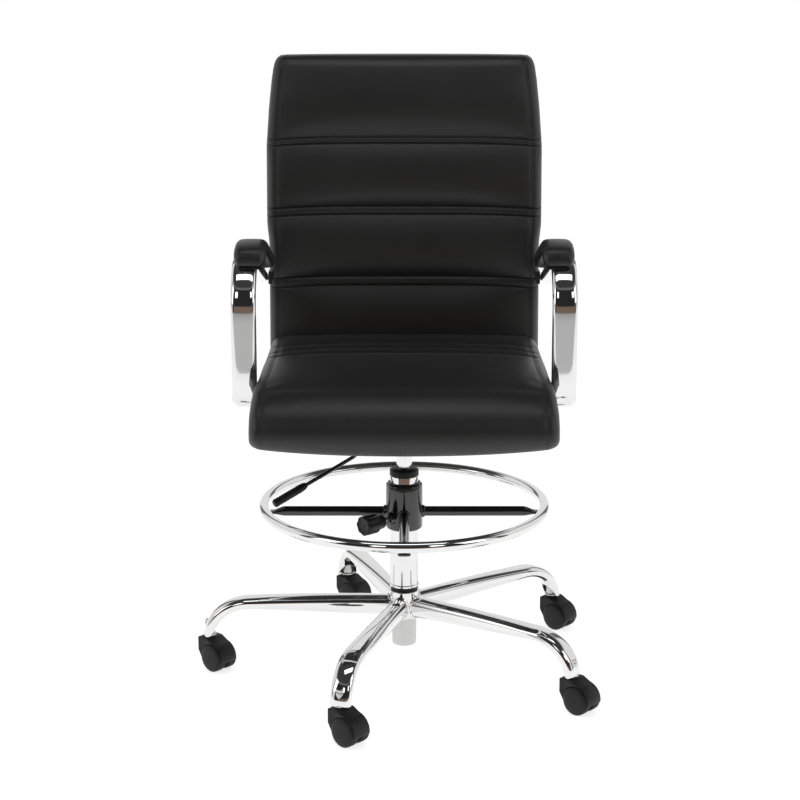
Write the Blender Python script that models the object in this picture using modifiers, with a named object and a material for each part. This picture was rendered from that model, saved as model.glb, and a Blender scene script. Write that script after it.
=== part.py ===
"""A drafting chair: five-leg caster base, gas column, foot ring, rocking seat with chrome arms."""

import math

import bmesh
import bpy
from mathutils import Matrix, Vector

MM = 0.001
ROUND = 24  # sides of the large round pieces
FIT = 0.3 * MM  # gap between pieces that touch
RUNNING = 0.4 * MM  # radial gap between pieces that turn or slide on each other

# Every height below is measured from a level under the floor, where the seat's geometry starts.
FLOOR_HEIGHT = 14 * MM
COLUMN_FOOT = 58 * MM

# Column: an outer tube in the base, and a gas cylinder that rises and turns in it.
COLUMN_TOP = 374 * MM
COLUMN_RADIUS = 25 * MM
COLUMN_WALL = 3 * MM
SOCKET_RADIUS = COLUMN_RADIUS - 3 * MM  # the column's lower end, held in the base
SOCKET_TOP = 165 * MM
RIM_HEIGHT = 14 * MM
RIM_RADIUS = COLUMN_RADIUS + 1 * MM
GUIDE_LENGTH = 123 * MM
CYLINDER_RADIUS = 14 * MM
CYLINDER_WALL = 1.5 * MM
CYLINDER_BOTTOM = 125 * MM
CYLINDER_TOP = 455 * MM
CYLINDER_PLUG = 20 * MM
ROD_RADIUS = 5 * MM
PISTON_HEIGHT = 255 * MM
BEARING_HEIGHT = 5 * MM
RELEASE_PIN_RADIUS = 4 * MM
RELEASE_PIN_PROUD = 5.5 * MM
RELEASE_PIN_LENGTH = 20 * MM

# Base
LEGS = 5
LEG_TURN = -17.3  # degrees from straight ahead to the first leg
LEG_REACH = 352 * MM  # column axis to caster stem
LEG_END = 75 * MM  # height of the open leg end
LEG_ROOT_HEIGHT = 131 * MM
LEG_CREST_HEIGHT = 136.5 * MM
LEG_BEND = 75 * MM
LEG_ROOT_DEPTH, LEG_ROOT_WIDTH = 38 * MM, 28 * MM
LEG_END_DEPTH, LEG_END_WIDTH = 22 * MM, 40 * MM
HUB_RADIUS = COLUMN_RADIUS + 3 * MM
HUB_BOTTOM, HUB_TOP = 111 * MM, 160 * MM

# Casters
WHEEL_RADIUS = 25 * MM
WHEEL_WIDTH = 18.5 * MM
CASTER_TRAIL = 22 * MM
CASTER_TURN = -42.5  # degrees, the way the wheels trail
WEB = 7 * MM  # hood wall between the two wheels
CASTER_WIDTH = 2 * WHEEL_WIDTH + WEB + 2 * MM  # across the wheels' outer faces
WHEEL_CENTRE = (CASTER_TRAIL, 0, FLOOR_HEIGHT + WHEEL_RADIUS)
RIM_SETBACK = 4 * MM  # from a wheel's outer face to the hood's edge
HOOD_WALL = 1.5 * MM
HOOD_TOP = FLOOR_HEIGHT + 59.5 * MM
STEM_RADIUS = 5.5 * MM
STEM_IN_LEG = 20 * MM
STEM_IN_HOOD = 10 * MM
STEM_COLLAR_RADIUS = 8.5 * MM
AXLE_RADIUS = 3 * MM

# Foot ring
RING_RADIUS = 250 * MM
RING_TUBE = 9.5 * MM
RING_HEIGHT = 320 * MM
SPOKE_RADIUS = 9 * MM
SPOKE_HEIGHT = 307 * MM
SPOKES = 4
CLAMP_BOTTOM, CLAMP_TOP = 277 * MM, 362 * MM
CLAMP_RADIUS = COLUMN_RADIUS + 8 * MM
BUSH_WALL = 1.6 * MM
KNOB_TURN = -46  # degrees from straight ahead
KNOB_HEIGHT = 300 * MM
KNOB_RADIUS = 18.5 * MM
KNOB_LENGTH = 45 * MM
KNOB_END = 101 * MM
STUD_RADIUS = 4 * MM

# Rocking mechanism
TILT_Y = -45 * MM
TILT_HEIGHT = 462 * MM
HOUSING_WIDTH = 88 * MM
HOUSING_FRONT, HOUSING_REAR = -95 * MM, 34 * MM
HOUSING_BOTTOM, HOUSING_TOP = 446 * MM, 484 * MM
HOUSING_REAR_TOP = 468 * MM
SHEET = 3 * MM
BOSS_RADIUS = CYLINDER_RADIUS + 8 * MM
BOSS_BOTTOM = 428 * MM
TILT_PIN_RADIUS = 5 * MM
PLATE_WIDTH = 180 * MM
PLATE_FRONT, PLATE_REAR = -110 * MM, 90 * MM
PLATE_TOP = 496 * MM
LEVER_HEIGHT = 465 * MM
LEVER_PIVOT = -36 * MM
LEVER_RADIUS = 3.5 * MM
GRIP_RADIUS = 7.5 * MM
GRIP_LENGTH = 68 * MM

# Seat and back
SEAT_WIDTH = 498 * MM
SHELL_WIDTH = SEAT_WIDTH - 28 * MM
SHELL_THICKNESS = 12 * MM
SHELL_FRONT = -212 * MM
SHELL_BEND = 70 * MM
SEAT_FRONT, SEAT_REAR = -257 * MM, 182 * MM
SEAT_TOP = 590 * MM
ROLL_BOTTOM = 474 * MM
BACK_TOP = 1096 * MM
SHELL_TOP = BACK_TOP - 28 * MM  # the back cushion's lip covers the shell's top edge
BACK_BOTTOM = 548 * MM
BACK_THICKNESS = 56 * MM
BACK_Y = 247 * MM  # middle of the shell at the height of the seat's top
BACK_RAKE = 6.7  # degrees
COVER_THICKNESS = 8 * MM
COVER_START = -38  # degrees round the shell's bend, where the rear cover begins

# Arms
ARM_WIDTH, ARM_THICKNESS = 43 * MM, 22 * MM
ARM_GAP = 1.5 * MM  # between the seat's side and the arm
ARM_FRONT = -104 * MM
ARM_FOOT_HEIGHT = 524 * MM
ARM_FOOT_END = 40 * MM
ARM_FOOT_BEND = 50 * MM
ARM_TOP_BEND = 75 * MM
ARM_TOP_CENTRE = 688 * MM
ARM_SLOPE = 17  # degrees down to the rear
ARM_REAR = 226 * MM
PAD_FRONT, PAD_REAR = -72 * MM, 168 * MM
PAD_WIDTH, PAD_THICKNESS = 56 * MM, 25 * MM
PAD_INSET = 10 * MM  # the pad's middle line lies this far inside the arm's
BOLT_RADIUS = 4 * MM
BOLT_HEAD_RADIUS, BOLT_HEAD_HEIGHT = 9.5 * MM, 6 * MM
BOLT_Y = -45 * MM
RAIL_LENGTH = 46 * MM
RAIL_DEPTH = 25 * MM

COLOURS = {  # base colour, metallic, roughness
    "chrome": ((0.80, 0.80, 0.80, 1), 1.0, 0.08),
    "satin_steel": ((0.62, 0.62, 0.63, 1), 1.0, 0.35),
    "gloss_black_paint": ((0.012, 0.012, 0.013, 1), 0.0, 0.12),
    "black_plastic": ((0.02, 0.02, 0.021, 1), 0.0, 0.45),
    "black_leather": ((0.022, 0.022, 0.024, 1), 0.0, 0.42),
    "plywood": ((0.42, 0.28, 0.15, 1), 0.0, 0.6),
    "spring_steel": ((0.25, 0.25, 0.27, 1), 1.0, 0.4),
}


def start():
    """An empty scene with a collection for the chair and one for its cutters, and the chair's own frame."""
    for obj in list(bpy.data.objects):
        bpy.data.objects.remove(obj, do_unlink=True)
    collections = {}
    for name in ("drafting_chair", "cutters"):
        collections[name] = bpy.data.collections.new(name)
        bpy.context.scene.collection.children.link(collections[name])
    frame = bpy.data.objects.new("height_zero", None)
    frame.location = (0, 0, -COLUMN_FOOT)  # the origin is the middle of the column's lower end
    collections["drafting_chair"].objects.link(frame)
    return collections, frame


COLLECTIONS, FLOOR = start()


def material(name):
    found = bpy.data.materials.get(name)
    if found:
        return found
    colour, metallic, roughness = COLOURS[name]
    made = bpy.data.materials.new(name)
    made.use_nodes = True
    shader = made.node_tree.nodes["Principled BSDF"]
    shader.inputs["Base Color"].default_value = colour
    shader.inputs["Metallic"].default_value = metallic
    shader.inputs["Roughness"].default_value = roughness
    made.diffuse_color = colour
    return made


def place(name, data, look, parent=None):
    """A named piece in the chair's collection, or a cutter where look is None."""
    obj = bpy.data.objects.new(name, data)
    obj.parent = parent or FLOOR
    if look is None:
        COLLECTIONS["cutters"].objects.link(obj)
        obj.hide_render = True
        obj.display_type = "WIRE"
        return obj
    data.materials.append(material(look))
    COLLECTIONS["drafting_chair"].objects.link(obj)
    return obj


def axis(name, location, parent=None, turn=0.0):
    """An empty on a joint's axis."""
    obj = bpy.data.objects.new(name, None)
    obj.location = location
    obj.rotation_euler = (0, 0, turn)
    obj.parent = parent or FLOOR
    COLLECTIONS["drafting_chair"].objects.link(obj)
    return obj


def shade(mesh):
    mesh.shade_smooth()
    mesh.set_sharp_from_angle(angle=math.radians(35))


def turned(name, profile, look, parent=None, steps=24, direction=(0, 0, 1), at=(0, 0, 0)):
    """A solid of revolution. The profile is (radius, height) pairs, down the outer side first."""
    mesh = bpy.data.meshes.new(name)
    points = [(radius, 0, height) for radius, height in profile]
    pairs = [(i, (i + 1) % len(points)) for i in range(len(points))]
    edges = [(i, j) for i, j in pairs if points[i][0] or points[j][0]]  # none runs along the axis
    mesh.from_pydata(points, edges, [])
    obj = place(name, mesh, look, parent)
    screw = obj.modifiers.new("turn", "SCREW")
    screw.steps = screw.render_steps = steps
    screw.use_merge_vertices = True
    screw.merge_threshold = 1e-6
    screw.use_smooth_shade = True
    obj.location = at
    obj.rotation_euler = Vector(direction).to_track_quat("Z", "Y").to_euler()
    return obj


def disc(radius, bottom, top):
    """The profile of a plain cylinder, for turned()."""
    return [(0, top), (radius, top), (radius, bottom), (0, bottom)]


def collar(radius, bore, bottom, top):
    """The profile of a plain ring, for turned()."""
    return [(radius, top), (radius, bottom), (bore, bottom), (bore, top)]


def box(name, low, high, look, parent=None):
    mesh = bpy.data.meshes.new(name)
    shape = bmesh.new()
    bmesh.ops.create_cube(shape, size=1)
    for vert in shape.verts:
        vert.co = Vector((high[i] if vert.co[i] > 0 else low[i] for i in range(3)))
    shape.to_mesh(mesh)
    shape.free()
    return place(name, mesh, look, parent)


def rounded(corners, steps=5):
    """A closed outline of (x, y, radius) corners, with an arc at each corner that has a radius."""
    outline = []
    for i, (x, y, radius) in enumerate(corners):
        corner = Vector((x, y))
        if not radius:
            outline.append(corner)
            continue
        before = (Vector(corners[i - 1][:2]) - corner).normalized()
        after = (Vector(corners[(i + 1) % len(corners)][:2]) - corner).normalized()
        half = before.angle(after) / 2
        centre = corner + (before + after).normalized() * radius / math.sin(half)
        first = corner + before * radius / math.tan(half) - centre
        turn = first.angle_signed(corner + after * radius / math.tan(half) - centre)
        for step in range(steps + 1):
            outline.append(centre + Matrix.Rotation(-turn * step / steps, 2) @ first)
    return outline


def slab(name, outline, width, look, parent=None, edge=0.0):
    """A closed outline in the Y-Z plane, given width along X and rounded edges."""
    curve = bpy.data.curves.new(name, "CURVE")
    curve.dimensions = "2D"
    curve.fill_mode = "BOTH"
    spline = curve.splines.new("POLY")
    spline.points.add(len(outline) - 1)
    for point, (y, z) in zip(spline.points, outline):
        point.co = (y, z, 0, 1)
    spline.use_cyclic_u = True
    curve.extrude = width / 2 - edge
    curve.bevel_depth = edge
    curve.offset = -edge
    curve.bevel_resolution = 1
    obj = place(name, curve, look, parent)
    # The curve's X, Y and Z become the chair's Y, Z and X.
    obj.rotation_euler = Matrix(((0, 0, 1), (1, 0, 0), (0, 1, 0))).to_euler()
    return solid(obj)


def solid(obj):
    """The piece's evaluated shape as a closed mesh, so that it can be cut and joined."""
    bpy.context.view_layer.update()
    graph = bpy.context.evaluated_depsgraph_get()
    mesh = bpy.data.meshes.new_from_object(obj.evaluated_get(graph))
    shape = bmesh.new()
    shape.from_mesh(mesh)
    bmesh.ops.remove_doubles(shape, verts=shape.verts, dist=1e-6)
    bmesh.ops.recalc_face_normals(shape, faces=shape.faces)
    shape.to_mesh(mesh)
    shape.free()
    name, parent, matrix = obj.name, obj.parent, obj.matrix_basis.copy()
    look = obj.data.materials[0].name if obj.data.materials else None
    mesh.materials.clear()
    bpy.data.objects.remove(obj, do_unlink=True)
    made = place(name, mesh, look, parent)
    made.matrix_basis = matrix
    shade(mesh)
    return made


def boolean(obj, cutter, operation):
    modifier = obj.modifiers.new(cutter.name, "BOOLEAN")
    modifier.operation = operation
    modifier.object = cutter
    return obj


def cut(obj, *cutters):
    for cutter in cutters:
        boolean(obj, cutter, "DIFFERENCE")
    return obj


def join(obj, *others):
    for other in others:
        boolean(obj, other, "UNION")
    return obj


def loft(name, sections, look, parent=None):
    """A closed skin over rings of points that all have the same count."""
    mesh = bpy.data.meshes.new(name)
    shape = bmesh.new()
    rings = [[shape.verts.new(point) for point in section] for section in sections]
    count = len(rings[0])
    for near, far in zip(rings, rings[1:]):
        for i in range(count):
            shape.faces.new((near[i], near[(i + 1) % count], far[(i + 1) % count], far[i]))
    shape.faces.new(rings[0])
    shape.faces.new(rings[-1])
    bmesh.ops.recalc_face_normals(shape, faces=shape.faces)
    shape.to_mesh(mesh)
    shape.free()
    shade(mesh)
    return place(name, mesh, look, parent)


def oval(centre, across, up, width, depth, count=14, squareness=0.75):
    """Points round a softened rectangle; squareness 1 is an ellipse and 0 a rectangle."""
    points = []
    for i in range(count):
        angle = 2 * math.pi * (i + 0.5) / count
        x = math.copysign(abs(math.cos(angle)) ** squareness, math.cos(angle)) * width / 2
        y = math.copysign(abs(math.sin(angle)) ** squareness, math.sin(angle)) * depth / 2
        points.append(centre + across * x + up * y)
    return points


def compass(degrees, reach=1.0, height=0.0):
    """The point at this bearing, from straight ahead (-Y) towards +X."""
    angle = math.radians(degrees)
    return Vector((reach * math.sin(angle), -reach * math.cos(angle), height))


def arc(centre, radius, first, last, steps):
    """Points round part of a circle in the Y-Z plane, angles in degrees from +Y towards +Z."""
    for step in range(steps + 1):
        angle = math.radians(first + (last - first) * step / steps)
        yield Vector((0, centre[0] + radius * math.cos(angle), centre[1] + radius * math.sin(angle)))


def make_column():
    inner = COLUMN_RADIUS - COLUMN_WALL
    socket_bore = SOCKET_RADIUS - COLUMN_WALL
    floor = COLUMN_FOOT + 6 * MM
    step = SOCKET_TOP + 2 * MM
    turned("column_tube", [
        (COLUMN_RADIUS, COLUMN_TOP), (COLUMN_RADIUS, step), (SOCKET_RADIUS + 1 * MM, step),
        (SOCKET_RADIUS, COLUMN_FOOT + 1.5 * MM), (SOCKET_RADIUS - 1.5 * MM, COLUMN_FOOT),
        (0, COLUMN_FOOT), (0, floor), (socket_bore, floor), (socket_bore, step),
        (inner, step + 4 * MM), (inner, COLUMN_TOP),
    ], "chrome", steps=ROUND)
    seat = COLUMN_TOP + FIT
    bore = CYLINDER_RADIUS + RUNNING
    turned("column_guide", [
        (RIM_RADIUS - 2 * MM, seat + RIM_HEIGHT), (RIM_RADIUS, seat + RIM_HEIGHT - 2 * MM),
        (RIM_RADIUS, seat), (inner - RUNNING, seat), (inner - RUNNING, COLUMN_TOP - GUIDE_LENGTH),
        (bore, COLUMN_TOP - GUIDE_LENGTH), (bore, seat + RIM_HEIGHT),
    ], "black_plastic", steps=ROUND)


def make_gas_spring():
    """The rod turns on a bearing in the column's foot, and the gas cylinder rises along the rod."""
    turn = axis("seat_swivel_axis", (0, 0, 0))
    floor = COLUMN_FOOT + 6 * MM + FIT
    washer = floor + BEARING_HEIGHT + FIT
    bore = CYLINDER_RADIUS - CYLINDER_WALL
    turned("thrust_bearing", collar(bore + 3 * MM, ROD_RADIUS + RUNNING, floor,
                                    floor + BEARING_HEIGHT), "satin_steel", turn, 20)
    turned("piston_rod", [
        (0, PISTON_HEIGHT + 12 * MM), (bore - RUNNING, PISTON_HEIGHT + 12 * MM),
        (bore - RUNNING, PISTON_HEIGHT), (ROD_RADIUS, PISTON_HEIGHT), (ROD_RADIUS, washer + 3 * MM),
        (bore, washer + 3 * MM), (bore, washer), (ROD_RADIUS, washer), (ROD_RADIUS, floor), (0, floor),
    ], "satin_steel", turn, 20)
    lift = axis("lift_axis", (0, 0, 0), turn)
    plug = CYLINDER_TOP - CYLINDER_PLUG
    pin_bore = RELEASE_PIN_RADIUS + RUNNING
    turned("gas_cylinder", [
        (CYLINDER_RADIUS - 1 * MM, CYLINDER_TOP), (CYLINDER_RADIUS, CYLINDER_TOP - 1 * MM),
        (CYLINDER_RADIUS, CYLINDER_BOTTOM), (ROD_RADIUS + RUNNING, CYLINDER_BOTTOM),
        (ROD_RADIUS + RUNNING, CYLINDER_BOTTOM + 4 * MM), (bore, CYLINDER_BOTTOM + 4 * MM),
        (bore, plug), (pin_bore, plug), (pin_bore, CYLINDER_TOP),
    ], "satin_steel", lift)
    pin_top = CYLINDER_TOP + RELEASE_PIN_PROUD
    turned("release_pin", disc(RELEASE_PIN_RADIUS, pin_top - RELEASE_PIN_LENGTH, pin_top),
           "satin_steel", lift, 16)
    return lift


def leg_path():
    """(reach, height) along a leg's middle line, hub to end."""
    bend_x = LEG_REACH - LEG_BEND
    drop = LEG_CREST_HEIGHT - LEG_END
    stations = []
    start_x = HUB_RADIUS - 7 * MM
    for step in range(3):
        share = step / 3
        stations.append((start_x + (bend_x - start_x) * share,
                         LEG_ROOT_HEIGHT + (LEG_CREST_HEIGHT - LEG_ROOT_HEIGHT) * share))
    for step in range(7):
        angle = math.radians(90 * step / 6)
        stations.append((bend_x + LEG_BEND * math.sin(angle), LEG_END + drop * math.cos(angle)))
    return stations


def make_legs():
    bore = STEM_RADIUS + RUNNING
    reach = HUB_RADIUS + FIT
    hub_cut = turned("hub_cutter", disc(reach, HUB_BOTTOM - 20 * MM, HUB_TOP + 20 * MM), None, steps=ROUND)
    bore_cut = turned("stem_cutter", disc(bore, LEG_END - 5 * MM, LEG_END + STEM_IN_LEG + 1 * MM), None,
                      steps=14)
    bore_cut.location = (LEG_REACH, 0, 0)
    path = leg_path()
    sections = []
    for i, (x, z) in enumerate(path):
        before, after = path[max(i - 1, 0)], path[min(i + 1, len(path) - 1)]
        along = Vector((after[0] - before[0], 0, after[1] - before[1])).normalized()
        if i == len(path) - 1:
            along = Vector((0, 0, -1))
        share = min(1, x / (LEG_REACH - LEG_BEND))
        taper = share ** 1.6
        depth = LEG_ROOT_DEPTH + (LEG_END_DEPTH - LEG_ROOT_DEPTH) * taper
        width = LEG_ROOT_WIDTH + (LEG_END_WIDTH - LEG_ROOT_WIDTH) * share
        sections.append(oval(Vector((x, 0, z)), Vector((0, 1, 0)), along.cross(Vector((0, 1, 0))),
                             width, depth, 12))
    for number in range(LEGS):
        leg = loft(f"base_leg_{number + 1}", sections, "chrome")
        cut(leg, hub_cut, bore_cut)
        solid_leg = solid(leg)
        solid_leg.rotation_euler = (0, 0, math.radians(LEG_TURN + 360 / LEGS * number - 90))
    turned("base_hub", collar(HUB_RADIUS, SOCKET_RADIUS + 1 * MM + RUNNING, HUB_BOTTOM, HUB_TOP),
           "chrome", steps=ROUND)


def hood_outline(inner):
    """The hood's side view: a tower round the stem, an arc over the wheels, and the web between them."""
    centre_x, _, centre_z = WHEEL_CENTRE
    outer = inner + HOOD_WALL
    rear = -13 * MM
    arch = []
    for degrees in (-8, 5, 18, 31, 44, 57, 69, 80):
        angle = math.radians(degrees)
        arch.append((centre_x + outer * math.cos(angle), centre_z + outer * math.sin(angle)))
    return [(rear, centre_z + 9 * MM), (rear + 11 * MM, centre_z - 9 * MM),
            (centre_x - 6 * MM, centre_z - 14 * MM), (centre_x + 14 * MM, centre_z - 13 * MM),
            *arch, (12 * MM, HOOD_TOP), (rear, HOOD_TOP)]


def make_casters():
    pocket_radius = WHEEL_RADIUS + 1 * MM
    half = CASTER_WIDTH / 2
    inner_face = WEB / 2 + 1 * MM
    outer_face = inner_face + WHEEL_WIDTH
    pockets = []
    holder = axis("caster_cutters", (0, 0, 0))
    for side in (-1, 1):
        pockets.append(turned(f"pocket_cutter_{side}", disc(pocket_radius, WEB / 2, half + 2 * MM), None,
                              holder, 40, (0, side, 0), WHEEL_CENTRE))
    stem_hole = turned("hood_cutter", disc(STEM_RADIUS + RUNNING, HOOD_TOP - STEM_IN_HOOD - 1 * MM,
                                           HOOD_TOP + 5 * MM), None, holder, 14)
    hood = slab("caster_hood", hood_outline(pocket_radius), CASTER_WIDTH - 2 * RIM_SETBACK, "black_plastic")
    # The slab lies in the Y-Z plane, and the hood's wheels trail along X.
    hood.matrix_basis = Matrix.Rotation(math.radians(-90), 4, "Z") @ hood.matrix_basis
    cut(hood, *pockets, stem_hole)
    axle = turned("axle_joiner", disc(AXLE_RADIUS, -half + 2 * MM, half - 2 * MM), None, holder, 12,
                  (0, 1, 0), WHEEL_CENTRE)
    join(hood, axle)
    hood = solid(hood)
    hood_mesh, hood_matrix = hood.data, hood.matrix_basis.copy()
    bpy.data.objects.remove(hood, do_unlink=True)
    bore = AXLE_RADIUS + RUNNING
    wheel_profile = [
        (0, outer_face), (WHEEL_RADIUS - 5 * MM, outer_face - 1.3 * MM),
        (WHEEL_RADIUS, outer_face - RIM_SETBACK + 0.5 * MM), (WHEEL_RADIUS, inner_face + 2 * MM),
        (WHEEL_RADIUS - 2 * MM, inner_face), (bore, inner_face), (bore, half - 1.6 * MM),
        (0, half - 1.6 * MM),
    ]
    for number in range(LEGS):
        foot = compass(LEG_TURN + 360 / LEGS * number, LEG_REACH)
        caster = axis(f"caster_{number + 1}_axis", foot, turn=math.radians(CASTER_TURN))
        body = place(f"caster_hood_{number + 1}", hood_mesh.copy(), "black_plastic", caster)
        body.matrix_basis = hood_matrix
        top = LEG_END + STEM_IN_LEG
        seat, shoulder = HOOD_TOP + FIT, LEG_END - FIT
        turned(f"caster_stem_{number + 1}", [
            (0, top), (STEM_RADIUS, top), (STEM_RADIUS, shoulder), (STEM_COLLAR_RADIUS, shoulder),
            (STEM_COLLAR_RADIUS, seat), (STEM_RADIUS, seat), (STEM_RADIUS, HOOD_TOP - STEM_IN_HOOD),
            (0, HOOD_TOP - STEM_IN_HOOD),
        ], "satin_steel", caster, 12)
        for side, word in ((-1, "left"), (1, "right")):
            turned(f"wheel_{number + 1}_{word}", wheel_profile, "black_plastic", caster, 20,
                   (0, side, 0), WHEEL_CENTRE)


def make_foot_ring():
    slide = axis("ring_slide_axis", (0, 0, 0))
    bush_bore = COLUMN_RADIUS + RUNNING
    bush_radius = bush_bore + BUSH_WALL
    turned("ring_bush", collar(bush_radius, bush_bore, CLAMP_BOTTOM + FIT, CLAMP_TOP - FIT),
           "black_plastic", slide, ROUND)
    turn = axis("ring_turn_axis", (0, 0, 0), slide)
    bore = bush_radius + RUNNING
    clamp = turned("ring_clamp", [
        (CLAMP_RADIUS - 5 * MM, CLAMP_TOP), (CLAMP_RADIUS - 1 * MM, CLAMP_TOP - 4 * MM),
        (CLAMP_RADIUS, CLAMP_TOP - 9 * MM), (CLAMP_RADIUS, CLAMP_BOTTOM + 2 * MM),
        (CLAMP_RADIUS - 2 * MM, CLAMP_BOTTOM), (bore, CLAMP_BOTTOM), (bore, CLAMP_TOP),
    ], "gloss_black_paint", turn, ROUND)
    outward = compass(KNOB_TURN)
    boss = turned("boss_joiner", disc(11 * MM, bore + 1.5 * MM, CLAMP_RADIUS + 8 * MM), None, turn, 16,
                  outward, (0, 0, KNOB_HEIGHT))
    stud_hole = turned("stud_cutter", disc(STUD_RADIUS + RUNNING, 10 * MM, CLAMP_RADIUS + 12 * MM), None,
                       turn, 16, outward, (0, 0, KNOB_HEIGHT))
    cut(join(clamp, boss), stud_hole)
    ring = torus("foot_ring", RING_TUBE, "chrome", turn, 48, 10)
    ring.location = (0, 0, RING_HEIGHT)
    ring_cut = torus("ring_cutter", RING_TUBE + FIT, None, turn, 48, 10)
    ring_cut.location = (0, 0, RING_HEIGHT)
    clamp_cut = turned("clamp_cutter", disc(CLAMP_RADIUS + FIT, CLAMP_BOTTOM, CLAMP_TOP), None, turn, ROUND)
    for number, word in enumerate(("front", "right", "back", "left")):
        spoke = turned(f"ring_spoke_{word}", disc(SPOKE_RADIUS, CLAMP_RADIUS - 6 * MM,
                                                  RING_RADIUS - 3 * MM),
                       "gloss_black_paint", turn, 16, compass(360 / SPOKES * number), (0, 0, SPOKE_HEIGHT))
        cut(spoke, clamp_cut, ring_cut)
    tip = bush_radius + FIT
    inside = KNOB_END - KNOB_LENGTH + 12 * MM
    turned("clamp_stud", disc(STUD_RADIUS, tip, inside), "satin_steel", turn, 16, outward,
           (0, 0, KNOB_HEIGHT))
    make_knob(turn, outward, inside + FIT)


def make_knob(parent, outward, hole_end):
    """A knob with eight shallow lobes round it, bored for the stud."""
    near, far = KNOB_END - KNOB_LENGTH, KNOB_END
    sections = []
    for height, size in ((near, 0.72), (near + 12 * MM, 0.78), (near + 18 * MM, 1), (far - 4 * MM, 1),
                         (far, 0.86)):
        ring = []
        for i in range(32):
            angle = 2 * math.pi * i / 32
            radius = KNOB_RADIUS * size * (0.95 + 0.05 * math.cos(8 * angle))
            ring.append(Vector((radius * math.cos(angle), radius * math.sin(angle), height)))
        sections.append(ring)
    knob = loft("clamp_knob", sections, "black_plastic", parent)
    knob.location = (0, 0, KNOB_HEIGHT)
    knob.rotation_euler = outward.to_track_quat("Z", "Y").to_euler()
    hole = turned("knob_cutter", disc(STUD_RADIUS + RUNNING, 0, hole_end), None, parent, 16, outward,
                  (0, 0, KNOB_HEIGHT))
    cut(knob, hole)


def torus(name, tube, look, parent, around, section):
    mesh = bpy.data.meshes.new(name)
    shape = bmesh.new()
    rings = []
    for i in range(around):
        out = compass(360 * i / around)
        ring = []
        for j in range(section):
            angle = 2 * math.pi * (j + 0.5) / section
            ring.append(shape.verts.new(out * (RING_RADIUS + tube * math.cos(angle))
                                        + Vector((0, 0, tube * math.sin(angle)))))
        rings.append(ring)
    for i in range(around):
        near, far = rings[i], rings[(i + 1) % around]
        for j in range(section):
            shape.faces.new((near[j], near[(j + 1) % section], far[(j + 1) % section], far[j]))
    bmesh.ops.recalc_face_normals(shape, faces=shape.faces)
    shape.to_mesh(mesh)
    shape.free()
    shade(mesh)
    return place(name, mesh, look, parent)


def make_housing(lift):
    half = HOUSING_WIDTH / 2
    outline = rounded([(HOUSING_FRONT, HOUSING_BOTTOM, 6 * MM), (HOUSING_FRONT, HOUSING_TOP, 0),
                       (-30 * MM, HOUSING_TOP, 0), (HOUSING_REAR, HOUSING_REAR_TOP, 0),
                       (HOUSING_REAR, HOUSING_BOTTOM, 6 * MM)], 2)
    housing = slab("tilt_housing", outline, HOUSING_WIDTH, "gloss_black_paint", lift)
    inside = box("housing_cutter", (-half + SHEET, HOUSING_FRONT + SHEET, HOUSING_BOTTOM + SHEET),
                 (half - SHEET, HOUSING_REAR - SHEET, HOUSING_TOP + 10 * MM), None, lift)
    boss = turned("housing_boss", disc(BOSS_RADIUS, BOSS_BOTTOM, CYLINDER_TOP - 2 * MM), None, lift, 24)
    bore = turned("boss_cutter", disc(CYLINDER_RADIUS + FIT, BOSS_BOTTOM - 5 * MM, CYLINDER_TOP + 5 * MM),
                  None, lift, 24)
    pin = TILT_PIN_RADIUS + RUNNING
    pin_hole = turned("pin_cutter", disc(pin, -half - 20 * MM, half + 20 * MM), None, lift, 16,
                      (1, 0, 0), (0, TILT_Y, TILT_HEIGHT))
    window = box("window_cutter", (-half - 5 * MM, -9 * MM, LEVER_HEIGHT - 13 * MM),
                 (-half + SHEET + 1 * MM, 9 * MM, HOUSING_TOP + 5 * MM), None, lift)
    lugs = []
    for side in (-1, 1):
        near, far = sorted((side * 9.5 * MM, side * 13.5 * MM))
        lugs.append(box(f"lug_{side}", (LEVER_PIVOT - 4 * MM, near, HOUSING_BOTTOM + 1 * MM),
                        (LEVER_PIVOT + 5 * MM, far, LEVER_HEIGHT + 7 * MM), None, lift))
    lug_hole = turned("lug_cutter", disc(2.2 * MM + RUNNING, -20 * MM, 20 * MM), None, lift, 12,
                      (0, 1, 0), (LEVER_PIVOT, 0, LEVER_HEIGHT))
    cut(housing, inside, window)
    join(housing, boss, *lugs)
    cut(housing, bore, pin_hole, lug_hole)
    for modifier in housing.modifiers:
        modifier.solver = "MANIFOLD"
    turned("tilt_pin", disc(TILT_PIN_RADIUS, -half - 9 * MM, half + 9 * MM), "satin_steel", lift, 16,
           (1, 0, 0), (0, TILT_Y, TILT_HEIGHT))
    spring = 30 * MM
    turned("tilt_spring", collar(TILT_PIN_RADIUS + 6 * MM, TILT_PIN_RADIUS + 1 * MM, -spring, spring),
           "spring_steel", lift, 16, (1, 0, 0), (0, TILT_Y, TILT_HEIGHT))


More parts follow.
